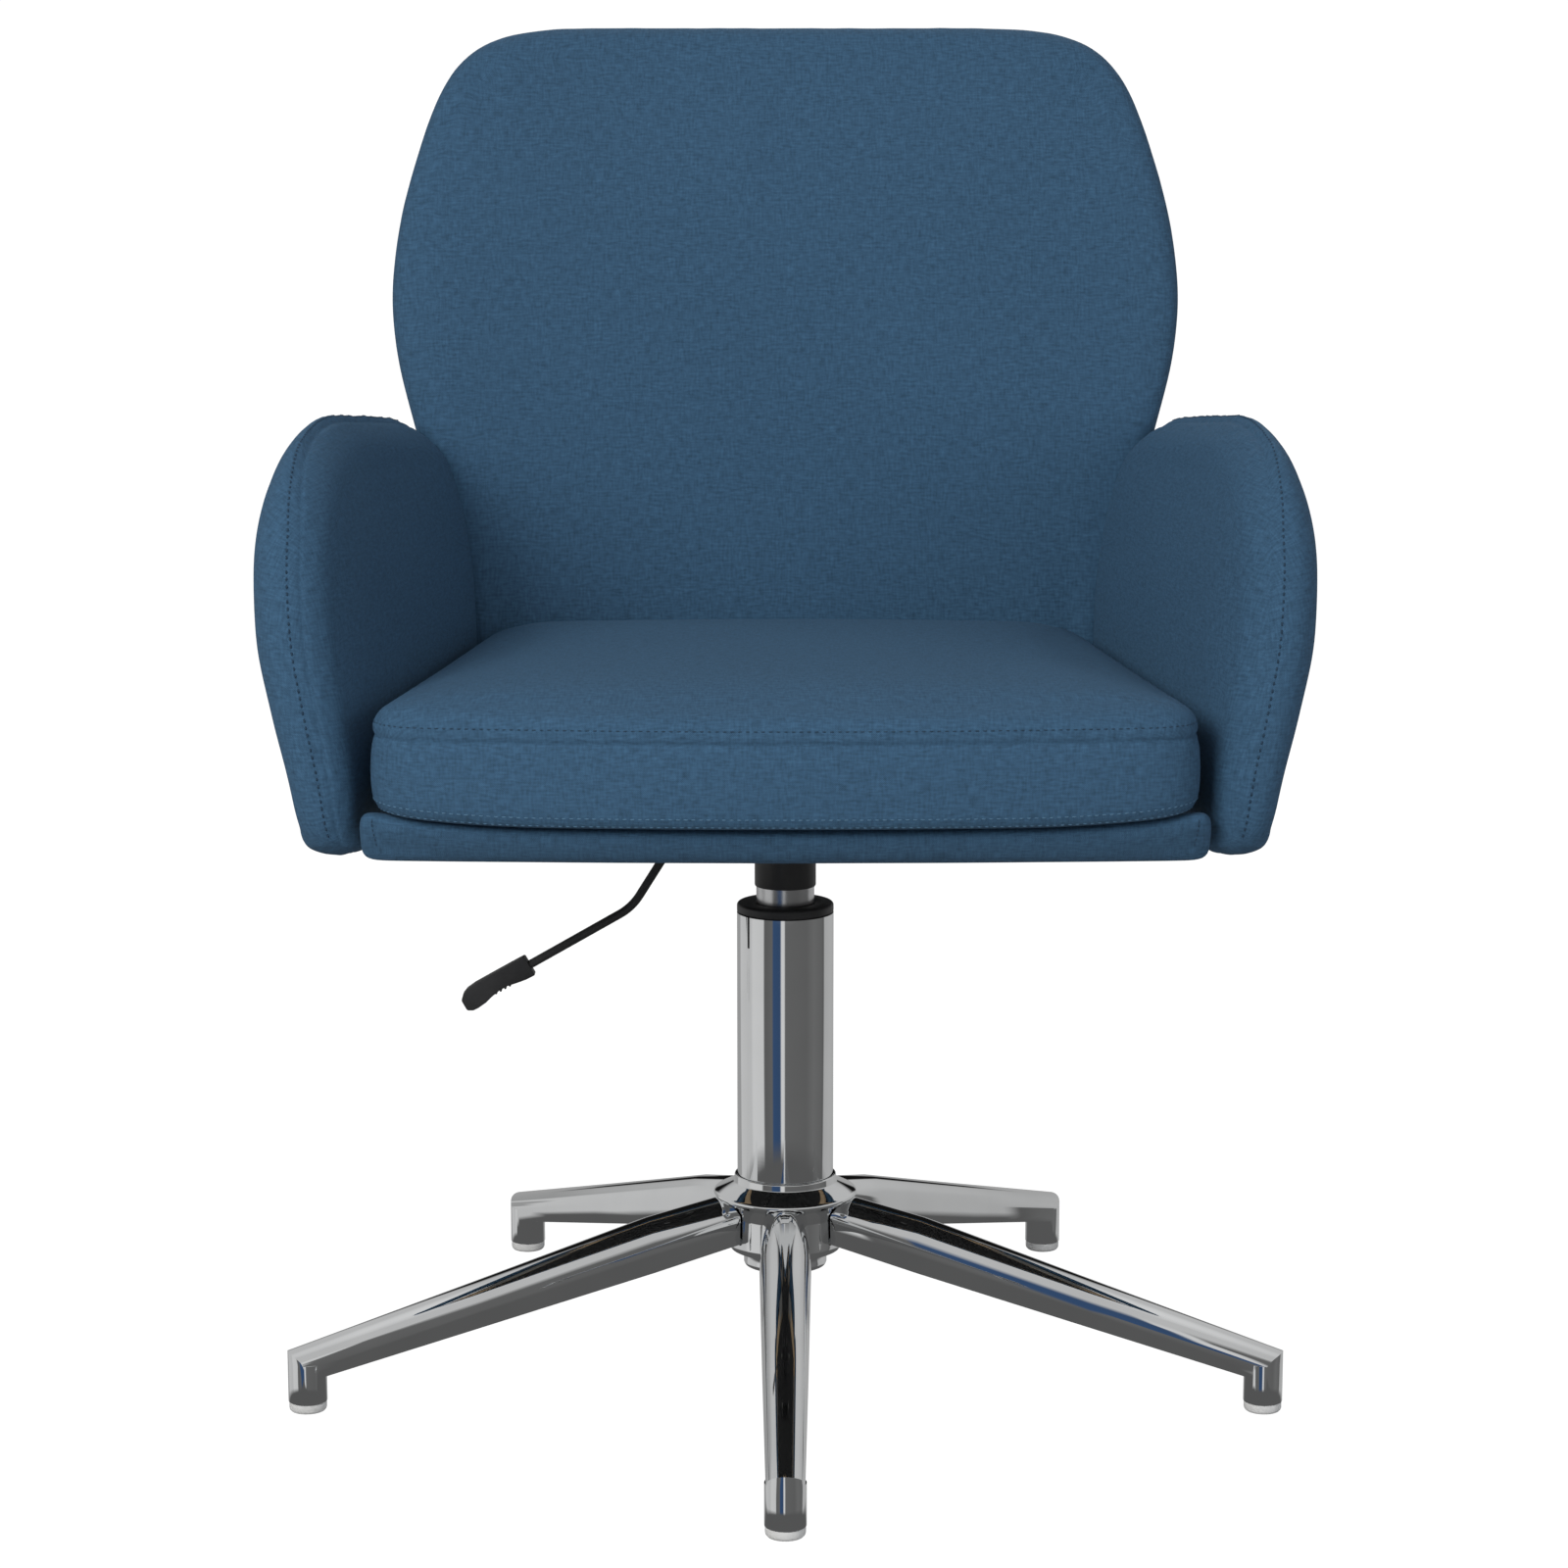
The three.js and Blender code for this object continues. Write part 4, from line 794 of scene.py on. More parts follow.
def padded_form(name, outline, nu, nv, section, place, seams, depth=1.0, crown=(0.0, 0.0)):
    """A stuffed form between two faces of one outline. section runs from the near face's edge to the far
    face's: (inset, across) with across from -1 to 1. place maps plan points and across to space. seams
    are the section's numbers where the cloth is sewn. Returns the piece and its loops' vertex numbers."""
    count = 2 * (nu + nv)
    normals = loop_normals(outline)
    depth = np.broadcast_to(depth, (count,))
    loops = []
    for inset, _ in section:
        ring = outline - normals * (inset * depth)[:, None]
        for _ in range(int(abs(inset) > 0.5) * 4):
            ring = 0.5 * ring + 0.25 * (np.roll(ring, 1, 0) + np.roll(ring, -1, 0))
        loops.append(ring)
    points, loop_ids = [], []

    def add(plan, across):
        first = sum(len(block) for block in points)
        points.append(place(plan[:, 0], plan[:, 1], across))
        return np.arange(first, first + len(plan))

    u = np.linspace(-1, 1, nu + 1)[:, None]
    v = np.linspace(-1, 1, nv + 1)[None, :]
    dome = ((1 - np.abs(u) ** 2.4) * (1 - np.abs(v) ** 2.4)).reshape(-1)
    patches = []
    for end, lift in ((0, crown[0]), (-1, crown[1])):
        grid = fill_patch(loops[end], nu, nv)
        across = np.full((nu + 1) * (nv + 1), section[end][1]) + lift * dome * (-1 if end == 0 else 1)
        ids = add(grid.reshape(-1, 2), across).reshape(nu + 1, nv + 1)
        edge = np.concatenate([ids[:-1, 0], ids[-1, :-1], ids[:0:-1, -1], ids[0, :0:-1]])
        patches.append((ids, grid, edge))
    for number, (ring, (_, across)) in enumerate(zip(loops, section)):
        if number == 0:
            loop_ids.append(patches[0][2])
        elif number == len(loops) - 1:
            loop_ids.append(patches[1][2])
        else:
            loop_ids.append(add(ring, np.full(count, across)))
    points = np.concatenate(points)

    faces, maps = [], []
    for (ids, grid, _), flip in zip(patches, (True, False)):
        for i in range(nu):
            for j in range(nv):
                cell = [(i, j), (i + 1, j), (i + 1, j + 1), (i, j + 1)]
                cell = cell[::-1] if flip else cell
                faces.append([int(ids[c]) for c in cell])
                maps.append([tuple(grid[c]) for c in cell])
    travel = np.zeros((len(loops), count))
    for k in range(1, len(loops)):
        travel[k] = travel[k - 1] + np.linalg.norm(points[loop_ids[k]] - points[loop_ids[k - 1]], axis=1)
    ringwise = np.concatenate([[0], np.cumsum(np.linalg.norm(
        np.roll(points[loop_ids[len(loops) // 2]], -1, 0) - points[loop_ids[len(loops) // 2]], axis=1))])
    marks = [0] + list(seams) + [len(loops) - 1]
    for panel in range(len(marks) - 1):
        for k in range(marks[panel], marks[panel + 1]):
            for i in range(count):
                j = (i + 1) % count
                quad = [(k, i), (k, j), (k + 1, j), (k + 1, i)]
                faces.append([int(loop_ids[a][b]) for a, b in quad])
                if panel == 0:
                    maps.append([tuple(loops[0][b] + normals[b] * travel[a][b]) for a, b in quad])
                elif panel == len(marks) - 2:
                    maps.append([tuple(loops[-1][b] + normals[b] * (travel[-1][b] - travel[a][b]))
                                 for a, b in quad])
                else:
                    maps.append([(ringwise[i + (b != i)], travel[a][b]) for a, b in quad])
    mesh = bpy.data.meshes.new(name)
    mesh.from_pydata([tuple(p) for p in points], [], faces)
    mesh.uv_layers.new(name="cloth")
    flat = np.array([uv for face in maps for uv in face], np.float32).reshape(-1)
    mesh.uv_layers["cloth"].data.foreach_set("uv", flat)
    ends = np.zeros(len(mesh.edges) * 2, int)
    mesh.edges.foreach_get("vertices", ends)
    ends = ends.reshape(-1, 2)
    free = np.zeros(len(points), bool)
    for ids, _, _ in patches:
        free[ids.reshape(-1)] = True
    near = np.bincount(ends.reshape(-1), minlength=len(points))[:, None]
    for _ in range(12):
        total = np.zeros_like(points)
        np.add.at(total, ends[:, 0], points[ends[:, 1]])
        np.add.at(total, ends[:, 1], points[ends[:, 0]])
        points[free] += 0.5 * (total / near - points)[free]
    mesh.vertices.foreach_set("co", points.reshape(-1))
    sharp = mesh.attributes.new("crease_edge", "FLOAT", "EDGE")
    sewn = np.zeros(len(points), bool)
    for number in seams:
        sewn[loop_ids[number]] = True
    sharp.data.foreach_set("value", (sewn[ends[:, 0]] & sewn[ends[:, 1]]).astype(np.float32) * 0.8)
    mesh.validate()
    piece = bpy.data.objects.new(name, mesh)
    bpy.context.collection.objects.link(piece)
    only(piece)
    bpy.ops.object.mode_set(mode="EDIT")
    bpy.ops.mesh.select_all(action="SELECT")
    bpy.ops.mesh.normals_make_consistent(inside=False)
    bpy.ops.object.mode_set(mode="OBJECT")
    return piece, loop_ids, patches


def positions(piece):
    values = np.zeros(len(piece.data.vertices) * 3)
    piece.data.vertices.foreach_get("co", values)
    return values.reshape(-1, 3)


def set_positions(piece, values):
    piece.data.vertices.foreach_set("co", values.reshape(-1))
    piece.data.update()


def stuff(piece, held, limit, pressure=4.0):
    """Blows the form up as its filling does. Held vertices stay put, and no point moves past the limit."""
    rest = positions(piece)
    group = piece.vertex_groups.new(name="sewn")
    group.add([int(v) for v in held], 1.0, "REPLACE")
    only(piece)
    modifier = piece.modifiers.new("filling", "CLOTH")
    setting = modifier.settings
    setting.quality = 5
    setting.mass = 0.3
    setting.tension_stiffness = setting.compression_stiffness = 12
    setting.shear_stiffness = 6
    setting.bending_stiffness = 2.5
    setting.use_pressure = True
    setting.uniform_pressure_force = pressure
    setting.effector_weights.gravity = 0
    setting.vertex_group_mass = "sewn"
    modifier.point_cache.frame_start, modifier.point_cache.frame_end = 1, 20
    for number in range(1, 21):
        bpy.context.scene.frame_set(number)
    bpy.ops.object.modifier_apply(modifier=modifier.name)
    bpy.context.scene.frame_set(1)
    moved = positions(piece) - rest
    size = np.linalg.norm(moved, axis=1)
    size[size == 0] = 1e-9
    set_positions(piece, rest + moved * (limit * np.tanh(size / limit) / size)[:, None])
    piece.vertex_groups.clear()


def smooth_finely(piece, levels=1):
    """Subdivides the form so that its curves read as cloth over foam."""
    apply_modifier(piece, "SUBSURF", levels=levels, render_levels=levels, uv_smooth="PRESERVE_BOUNDARIES")
    only(piece)
    bpy.ops.object.shade_smooth()


def pucker(piece, line, reach, height, pitch, seed):
    """Small gathers of cloth beside a sewn line."""
    tree = KDTree(len(line))
    for number, point in enumerate(line):
        tree.insert(point, number)
    tree.balance()
    mesh = piece.data
    here = positions(piece)
    out = np.zeros(len(mesh.vertices) * 3)
    mesh.vertices.foreach_get("normal", out)
    out = out.reshape(-1, 3)
    for number, point in enumerate(here):
        _, _, gap = tree.find(point)
        if gap < reach:
            fade = math.sin(math.pi * min(gap / reach, 1.0)) ** 1.5
            wave = noise.noise(Vector(point) / pitch + Vector((seed, seed * 0.7, 0)))
            here[number] += out[number] * (height * fade * wave)
    set_positions(piece, here)


thread, nodes, links, shader = new_material("sewing_thread")
place = nodes.new("ShaderNodeTexCoord").outputs["Object"]
twist = noise_at(nodes, links, place, 2500, 2)
links.new(colour_ramp(nodes, links, twist, [(0.3, (0.05, 0.12, 0.2)), (0.7, (0.085, 0.18, 0.28))]),
          shader.inputs["Base Color"])
shader.inputs["Roughness"].default_value = 0.6
# Thread painted much darker than the cloth. The dark is painted shade: it stands in for the shade in the stitch
# holes and grooves, not the thread's own colour.
shade_painted_thread, nodes, links, shader = new_material("thread_painted_shade")
place = nodes.new("ShaderNodeTexCoord").outputs["Object"]
twist = noise_at(nodes, links, place, 2500, 2)
links.new(colour_ramp(nodes, links, twist, [(0.3, (0.012, 0.03, 0.055)), (0.7, (0.02, 0.05, 0.09))]),
          shader.inputs["Base Color"])
shader.inputs["Roughness"].default_value = 0.7


def stitch_row(name, piece, line, pitch, length, radius, sink, material, body, closed=False):
    """A row of stitches along a line, each a short thread with tapered ends, laid on the surface."""
    line = [Vector(p) for p in line]
    if closed:
        line.append(line[0])
    steps = [(b - a).length for a, b in zip(line, line[1:])]
    total = sum(steps)
    number = max(int(total / pitch), 1)
    marks, gone, k = [], 0.0, 0
    for n in range(number):
        want = (n + 0.5) * total / number
        while k < len(steps) - 1 and gone + steps[k] < want:
            gone += steps[k]
            k += 1
        share = (want - gone) / steps[k]
        marks.append((line[k].lerp(line[k + 1], share), (line[k + 1] - line[k]).normalized()))
    depsgraph = bpy.context.evaluated_depsgraph_get()
    surface = piece.evaluated_get(depsgraph)
    points, faces = [], []
    rings = ((-0.5, 0.15, -0.9), (-0.36, 0.85, -0.1), (0.0, 1.0, 0.35), (0.36, 0.85, -0.1),
             (0.5, 0.15, -0.9))
    for centre, run in marks:
        _, spot, up, _ = surface.closest_point_on_mesh(centre)
        side = run.cross(up).normalized()
        run = up.cross(side).normalized()
        first = len(points)
        for along, wide, lift in rings:
            for corner in range(5):
                turn = FULL_TURN * corner / 5
                points.append(spot + run * (along * length) + side * (wide * radius * math.cos(turn))
                              + up * (radius * (wide * math.sin(turn) + lift) - sink))
        for ring in range(len(rings) - 1):
            for corner in range(5):
                a, b = first + ring * 5 + corner, first + ring * 5 + (corner + 1) % 5
                faces.append((a, b, b + 5, a + 5))
        faces.append(tuple(first + c for c in range(4, -1, -1)))
        faces.append(tuple(first + (len(rings) - 1) * 5 + c for c in range(5)))
    mesh = bpy.data.meshes.new(name)
    mesh.from_pydata([tuple(p) for p in points], [], faces)
    row = bpy.data.objects.new(name, mesh)
    bpy.context.collection.objects.link(row)
    only(row)
    bpy.ops.object.mode_set(mode="EDIT")
    bpy.ops.mesh.select_all(action="SELECT")
    bpy.ops.mesh.normals_make_consistent(inside=False)
    bpy.ops.object.mode_set(mode="OBJECT")
    bpy.ops.object.shade_smooth()
    row.data.materials.append(material)
    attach(row, body)
    return row


# The rail's plan is a shallow bow; its front face rolls over at top, bottom and ends.
RAIL_REAR = -0.2056
rail_front = curve_through([(0, -0.2372), (0.08, -0.2352), (0.16, -0.2302), (0.2, -0.2268), (0.225, -0.2235),
                            (0.234, -0.2202), (0.239, -0.2165)])


def end_lift(x, y, reach):
    """How far the seat's lower edges rise towards their front corners."""
    return reach * np.clip((np.abs(x) - 0.13) / 0.105, 0, 1.05) ** 2 * np.clip((-0.13 - y) / 0.08, 0, 1)


def rail_place(x, z, across):
    front = rail_front(np.abs(x)) + 0.6 * np.clip(0.3815 - z, 0, 1)
    return np.stack([x, (front + RAIL_REAR) / 2 + across * (RAIL_REAR - front) / 2, z], 1)


rail_top = [(x, 0.3835 + end_lift(x, -0.22, 0.0068)) for x in np.linspace(0.236, -0.236, 31)]
rail_outline = even_loop([
    [(-0.236, 0.3612), (0.236, 0.3612)], [(0.236, 0.3612), (0.2385, 0.3655), (0.239, 0.3845), rail_top[0]],
    rail_top, [rail_top[-1], (-0.239, 0.3845), (-0.2385, 0.3655), (-0.236, 0.3612)],
], 1, (72, 8, 72, 8))
RAIL_SECTION = [(0.0072, -1.0), (0.0035, -0.93), (0.0012, -0.74), (0.0, -0.4), (0.0, 0.3), (0.0012, 0.74),
                (0.004, 0.95), (0.007, 1.0)]
rail, rail_loops, _ = padded_form("front_rail_padding", rail_outline, 72, 8, RAIL_SECTION, rail_place, [5])
stuff(rail, np.concatenate(rail_loops[4:]), 0.0015)
smooth_finely(rail)
for side in (-1, 1):
    ends = [(side * x, -0.222 + 0.06 * (x - 0.225), 0.3625) for x in np.linspace(0.222, 0.239, 18)]
    pucker(rail, ends, 0.009, 0.0022, 0.004, 3 + side)
rail.data.materials.append(cloth)
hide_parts("front_rail")
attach(rail, "seat")
for side, word in ((-1, "left"), (1, "right")):
    line = [(side * 0.2325, -0.226, z) for z in np.linspace(0.3635, 0.3885, 12)]
    stitch_row(f"rail_end_stitches_{word}", rail, line, 0.0036, 0.0024, 0.0004, 0.0001, shade_painted_thread, "seat")

# ---------------------------------------------------------------------------------------------
# Seat cushion: a foam block with a crowned top panel sewn to an upright border; a row of topstitching
# runs above that seam, and a double row closes the border near the bottom.


def cushion_outline():
    front, rear, wide, narrow = -0.238, 0.138, 0.234, 0.197
    corner = 0.034
    turn = np.linspace(0, math.pi / 2, 9)
    side_front, side_rear = wide - corner, narrow - corner
    right_front = [(side_front + corner * math.sin(t), front + corner - corner * math.cos(t)) for t in turn]
    right_rear = [(side_rear + corner * math.cos(t), rear - corner + corner * math.sin(t)) for t in turn]
    mirror = lambda side: [(-x, y) for x, y in side[::-1]]
    bow = [(x, front - 0.014 * (1 - (x / side_front) ** 2)) for x in np.linspace(-side_front, side_front, 41)]
    swell = [(x, rear + 0.018 * (1 - (x / side_rear) ** 2)) for x in np.linspace(side_rear, -side_rear, 41)]
    left_front, left_rear = mirror(right_front), mirror(right_rear)
    return even_loop([
        left_front[4:] + bow + right_front[:5], right_front[4:] + right_rear[:5],
        right_rear[4:] + swell + left_rear[:5], left_rear[4:] + left_front[:5],
    ], 2, (52, 44, 52, 44))


CUSHION_SECTION = [  # (inset, height), from the top panel's edge down to the bottom panel's
    (28, 453.4), (18, 451.7), (11, 449.3), (6.5, 446.3), (3.8, 443.0), (2.4, 440.2), (1.8, 437.0), (1.9, 434.6),
    (3.1, 432.5), (1.6, 430.3), (0.8, 425), (0.1, 417), (0.0, 408), (0.4, 399), (0.9, 394.0), (1.5, 391.2),
    (2.6, 388.4), (4.1, 386.2), (7.0, 384.7), (11, 384.1), (17, 384.0),
]


def cushion_place(x, y, height):
    rear = np.clip((y + 0.08) / 0.22, 0, 1) * np.clip((height - 0.436) / 0.016, 0, 1)
    corner = end_lift(x, y, 0.006) * np.clip((0.410 - height) / 0.02, 0, 1)
    return np.stack([x, y, height + 0.0032 * rear ** 1.5 + corner + 0.0004], 1)


cushion, cushion_loops, cushion_patches = padded_form(
    "seat_cushion_cover", cushion_outline(), 52, 44, [(a / 1000, b / 1000) for a, b in CUSHION_SECTION],
    cushion_place, [8, 15], crown=(-0.0062, 0.0))
sewn = np.concatenate(cushion_loops[3:11] + cushion_loops[13:] + [cushion_patches[1][0].reshape(-1)])
stuff(cushion, sewn, 0.003)
seam_line = positions(cushion)[cushion_loops[8]]
topstitch_line = positions(cushion)[cushion_loops[5]]
border_line = positions(cushion)[cushion_loops[15]]
closing_line = positions(cushion)[cushion_loops[17]]
smooth_finely(cushion)
pucker(cushion, seam_line, 0.010, 0.0008, 0.009, 5)
cushion.data.materials.append(cloth)
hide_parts("seat_cushion")
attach(cushion, "seat")
for name, line, material in (("cushion_topstitch", topstitch_line, shade_painted_thread),
                             ("cushion_border_stitch", border_line, thread),
                             ("cushion_closing_stitch", closing_line, thread)):
    stitch_row(name, cushion, line, 0.0042, 0.0028, 0.00042, 0.00012, material, "seat", closed=True)

# ---------------------------------------------------------------------------------------------
# Back: a bent shell board padded on both sides. The front pad is one smooth panel of cloth rolled over
# the rim; the rear panel is sewn to it behind the rim.
back_half_width = curve_through([
    (366, 196), (378, 204), (450, 210), (520, 226), (585, 244.5), (625, 254.5), (661, 258), (700, 254.5),
    (764, 239), (792, 229), (806, 221.5), (818, 211)])
back_front = curve_through([(366, 158), (452, 165), (540, 181), (661, 210), (760, 238), (837, 264)])
back_bow = curve_through([(366, 14), (460, 20), (560, 26), (700, 28), (790, 22), (837, 16)])


def back_plan(inset):
    """The back's outline in width and height: waisted sides, round shoulders, a nearly flat top."""
    heights = np.concatenate([np.linspace(380, 800, 40), [806, 812, 818]])
    right = [(back_half_width(z), z) for z in heights]
    right += [(203, 824.5), (194, 828.6), (183, 831.8), (170, 834.2), (150, 835.9), (120, 836.6)]
    left = [(-x, z) for x, z in right[::-1]]
    foot_right = [(182, 366), (190, 367), (197, 371.5)]
    foot_left = [(-x, z) for x, z in foot_right[::-1]]
    scale = 1 - inset / 258
    sides = [foot_left[1:] + foot_right[:2], foot_right[1:] + right[:-6], right[-7:] + left[:7],
             left[6:] + foot_left[:2]]
    middle = 600
    squeeze = 1 - inset / 235
    return even_loop([[(x * scale / 1000, (middle + (z - middle) * squeeze) / 1000) for x, z in side]
                      for side in sides], 2, (50, 56, 50, 56))


def back_place(behind, thickness):
    """Maps width and height to space on a slab that lies behind the back's front face."""
    def place(x, z, across):
        z_mm, x_mm = z * 1000, x * 1000
        reach = back_half_width(np.clip(z_mm, 366, 818)) - 17
        y = back_front(z_mm) + behind + thickness / 2 - back_bow(z_mm) * (x_mm / reach) ** 2
        return np.stack([x, (y + across * thickness / 2) / 1000, z], 1)
    return place


BACK_SECTION = [  # quarter round in front, quarter round behind, the seam at the rear rim
    (17.0, -1.0), (13.0, -0.965), (9.3, -0.88), (6.0, -0.74), (3.3, -0.56), (1.3, -0.32), (0.2, -0.05),
    (0.2, 0.25), (1.2, 0.5), (2.8, 0.68), (4.4, 0.8), (7.5, 0.92), (12.0, 0.985), (17.0, 1.0),
]
pad, pad_loops, pad_patches = padded_form(
    "back_pad_cover", back_plan(0), 50, 56, [(a / 1000, b) for a, b in BACK_SECTION], back_place(0, 34), [9],
    crown=(0.12, 0.0))
sewn = np.concatenate(pad_loops[3:] + [pad_patches[1][0].reshape(-1)])
stuff(pad, sewn, 0.004)
rim_line = positions(pad)[pad_loops[9]]
smooth_finely(pad)
pucker(pad, rim_line, 0.014, 0.0005, 0.016, 8)
pad.data.materials.append(cloth)
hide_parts("back_pad")
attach(pad, "seat")

SHELL_SECTION = [(10.0, -1.0), (4.5, -0.94), (1.6, -0.8), (0.3, -0.5), (0.2, -0.1), (1.2, 0.3), (3.2, 0.62),
                 (6.2, 0.84), (10.5, 0.96), (16.0, 1.0)]
shell, shell_loops, shell_patches = padded_form(
    "back_rear_panel", back_plan(5), 50, 56, [(a / 1000, b) for a, b in SHELL_SECTION], back_place(35, 20), [4],
    crown=(0.0, 0.16))
sewn = np.concatenate(shell_loops[:8] + [shell_patches[0][0].reshape(-1)])
stuff(shell, sewn, 0.003)
shell_row = positions(shell)[shell_loops[7]]
smooth_finely(shell)
pucker(shell, shell_row, 0.012, 0.0008, 0.012, 11)
shell.data.materials.append(cloth)
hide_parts("back_shell")
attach(shell, "seat")
stitch_row("rear_panel_topstitch", shell, shell_row, 0.0042, 0.0028, 0.00042, 0.00012, shade_painted_thread, "seat",
           closed=True)

# ---------------------------------------------------------------------------------------------
# Arms: upholstered boards that stand beside the seat and wrap the back's edge. The outer cloth rolls
# over the rim and meets the inner panel in a seam with topstitching beside it.
arm_middle = curve_through([(360, 233.0), (380, 236.2), (405, 238.4), (440, 243.1), (486, 247.8), (520, 252.6),
                            (550, 257.2), (572, 259.4), (587, 260.4), (602, 260)])
arm_splay = curve_through([(360, -0.1066), (405, -0.1169), (440, -0.129), (486, -0.1476), (520, -0.140),
                           (550, -0.124), (575, -0.111), (602, -0.104)])
arm_half = curve_through([(360, 17), (380, 18.2), (405, 20), (440, 22), (486, 23.5), (520, 23.4), (550, 22.6),
                          (575, 21.0), (602, 19)])


def arm_plan():
    """The arm's outline in depth and height: upright front, one long round over the top, straight foot."""
    front = [(-206, 365), (-211, 374), (-213.6, 386), (-214, 405), (-212, 440), (-207, 486), (-199, 520),
             (-185, 550), (-163, 573), (-136, 588.5)]
    top = [(-136, 588.5), (-105, 596.5), (-72, 600.5), (-40, 600), (0, 597), (60, 592.5), (110, 588.5),
           (150, 583)]
    rear = [(150, 583), (172, 574), (187, 560), (194, 540), (195, 510), (193, 470), (190, 410), (187, 385),
            (182, 368)]
    foot = [(182, 368), (174, 361.5), (160, 359.5), (-180, 359.5), (-198, 360.5), (-206, 365)]
    sides = [[(y / 1000, z / 1000) for y, z in side[::-1]] for side in (foot, rear, top, front)]
    return even_loop(sides, 3, (46, 30, 46, 30))


def arm_place(side):
    def place(y, z, across):
        y_mm, z_mm = y * 1000, z * 1000
        x = arm_middle(z_mm) + arm_splay(z_mm) * y_mm + 3 * (1 - (y_mm / 200) ** 2)
        across = across + 0.3 * np.exp(-((across + 0.35) / 0.45) ** 2) * np.clip((z_mm - 545) / 45, 0, 1)
        return np.stack([side * (x + arm_half(z_mm) * across) / 1000, y, z], 1)
    return place


outline = arm_plan()
arm_depth = np.interp(outline[:, 1] * 1000, [361, 375, 440, 540, 600], [0.25, 0.7, 0.92, 1.1, 1.35])
ARM_SECTION = [  # from the inner panel's edge over the rim to the outer face
    (25.0, -1.0), (19.0, -0.965), (13.8, -0.88), (9.4, -0.75), (6.0, -0.60), (3.6, -0.46), (3.6, -0.38),
    (2.1, -0.30), (1.4, -0.22), (0.6, -0.08), (0.3, 0.06), (0.6, 0.25), (2.2, 0.42), (5.0, 0.58),
    (8.6, 0.72), (13.0, 0.85), (18.5, 0.95), (25.0, 1.0),
]
for side, word in ((-1, "left"), (1, "right")):
    arm, arm_loops, _ = padded_form(
        f"arm_cover_{word}", outline, 46, 30, [(a / 1000, b) for a, b in ARM_SECTION], arm_place(side), [6],
        depth=arm_depth, crown=(0.1, 0.12))
    foot = [v for v, p in enumerate(positions(arm)) if p[2] < 0.3625]
    stuff(arm, np.concatenate(arm_loops[2:16] + [foot]), 0.003)
    seam = positions(arm)[arm_loops[6]]
    row = positions(arm)[arm_loops[9]]
    smooth_finely(arm)
    pucker(arm, seam, 0.010, 0.0009, 0.008, 15 + side)
    for neighbour in (pad, shell):
        tool = copy_of(neighbour, "cutter")
        apply_modifier(tool, "DISPLACE", strength=0.0006, mid_level=0.0)
        boolean(arm, tool, "DIFFERENCE")
    only(arm)
    bpy.ops.object.shade_smooth_by_angle(angle=math.radians(60))
    arm.data.materials.clear()
    arm.data.materials.append(cloth)
    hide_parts(f"arm_{word}")
    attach(arm, "seat")
    shown = [p for p in row if p[2] > 0.368 and p[1] < 0.14]
    start_at = max(range(len(shown)), key=lambda n: (Vector(shown[n]) - Vector(shown[n - 1])).length)
    shown = shown[start_at:] + shown[:start_at]
    stitch_row(f"arm_topstitch_{word}", arm, shown, 0.0042, 0.0027, 0.00055, 0.0, shade_painted_thread, "seat")

# ---------------------------------------------------------------------------------------------
# Release lever: 5.4 mm steel wire bent twice and painted black, with a moulded paddle pushed on its
# end. It turns in the seat plate's bush and its inner end presses the lift's valve pin.
LEVER_CORNERS = [(8, 354.7), (-56, 354.7), (-95, 292.5), (-166, 252)]
corners = [Vector((x, 0, z)) / 1000 for x, z in LEVER_CORNERS]
route = [corners[0]]
for before, corner, after in zip(corners, corners[1:], corners[2:]):
    back, ahead = (before - corner).normalized() * 0.009, (after - corner).normalized() * 0.009
    for step in range(9):
        t = step / 8
        route.append(corner + back * (1 - t) ** 2 + ahead * t ** 2)
route.append(corners[-1])
bend = bpy.data.curves.new("lever_wire", "CURVE")
bend.dimensions = "3D"
bend.bevel_depth, bend.bevel_resolution, bend.use_fill_caps = 0.0027, 5, True
spline = bend.splines.new("POLY")
spline.points.add(len(route) - 1)
for point, place in zip(spline.points, route):
    point.co = (*place, 1)
wire = bpy.data.objects.new("lever_wire", bend)
bpy.context.collection.objects.link(wire)
only(wire)
bpy.ops.object.convert(target="MESH")
wire = bpy.context.object
only(wire)
bpy.ops.object.shade_smooth_by_angle(angle=math.radians(40))
finish_piece(wire, "lever", black_paint, "black_paint", "lever_rod")

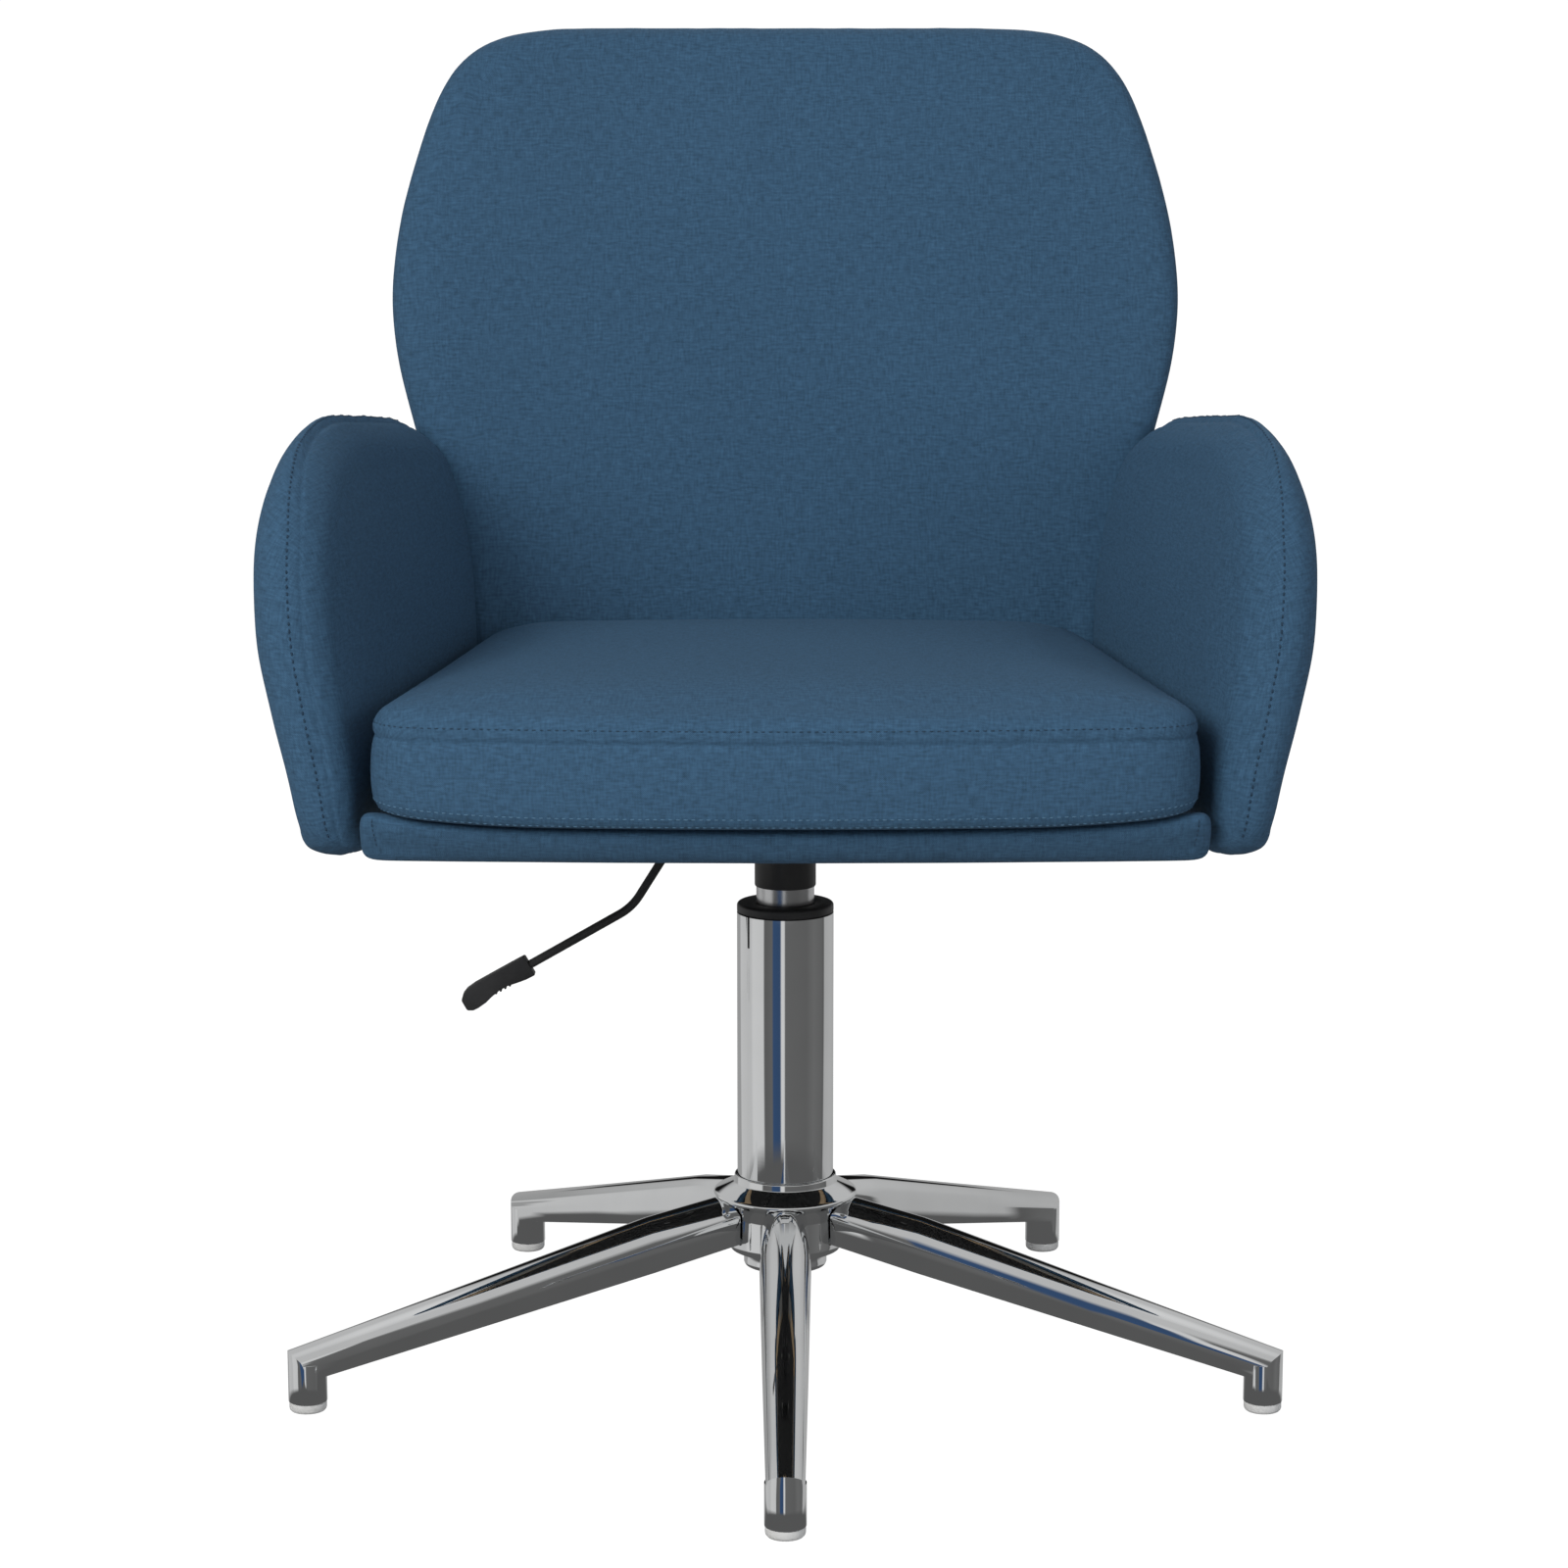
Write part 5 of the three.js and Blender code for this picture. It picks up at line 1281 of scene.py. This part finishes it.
bpy.ops.object.select_all(action="DESELECT")
bpy.ops.mesh.primitive_cube_add(size=1, location=(0, 0, 0))
paddle = bpy.context.object
paddle.name = "lever_paddle"
bpy.ops.object.mode_set(mode="EDIT")
bpy.ops.transform.resize(value=(0.0485, 0.0086, 0.016), center_override=(0, 0, 0))
bpy.ops.transform.translate(value=(-0.02975, 0, 0))
for cut in (-0.0075, -0.012, -0.018, -0.024, -0.03, -0.036, -0.041, -0.047, -0.0505):
    bpy.ops.mesh.select_all(action="SELECT")
    bpy.ops.mesh.bisect(plane_co=(cut, 0, 0), plane_no=(1, 0, 0))
bpy.ops.object.mode_set(mode="OBJECT")
paddle_top = curve_through([(-54, 1.6), (-50.5, 5.0), (-47, 6.4), (-41, 7.0), (-12, 6.8), (-5.5, 6.6)])
paddle_under = curve_through([(-54, -5.6), (-50.5, -7.4), (-45, -7.6), (-39, -6.4), (-32, -4.6), (-26, -4.3),
                              (-20, -5.2), (-14, -6.5), (-5.5, -6.9)])
paddle_wide = curve_through([(-54, 3.2), (-47, 4.1), (-30, 4.3), (-12, 4.4), (-5.5, 4.4)])
for vertex in paddle.data.vertices:
    x = vertex.co.x * 1000
    edge = paddle_top if vertex.co.z > 0 else paddle_under
    half = math.copysign(float(paddle_wide(x)), vertex.co.y)
    vertex.co = (vertex.co.x, half / 1000, float(edge(x)) / 1000)
soft_edges(paddle, 0.0009, 2, angle=40)
for ridge in range(5):
    bpy.ops.mesh.primitive_cylinder_add(vertices=20, radius=0.0007, depth=0.009,
                                        location=(-0.0225 - ridge * 0.0033, 0, -0.0047))
    rib = bpy.context.object
    rib.rotation_euler = (math.pi / 2, 0, 0)
    bpy.ops.object.transform_apply(location=True, rotation=True, scale=True)
    boolean(paddle, rib, "UNION")
only(paddle)
bpy.ops.object.shade_smooth_by_angle(angle=math.radians(34))
run = (corners[-2] - corners[-1]).normalized()
paddle.matrix_world = (Matrix.Translation(corners[-1] + run * 0.014)
                       @ Matrix.Rotation(-math.atan2(run.z, run.x), 4, "Y"))
finish_piece(paddle, "lever", black_plastic, "black_plastic", "lever_handle")
dress(["valve_pin"], satin_steel)
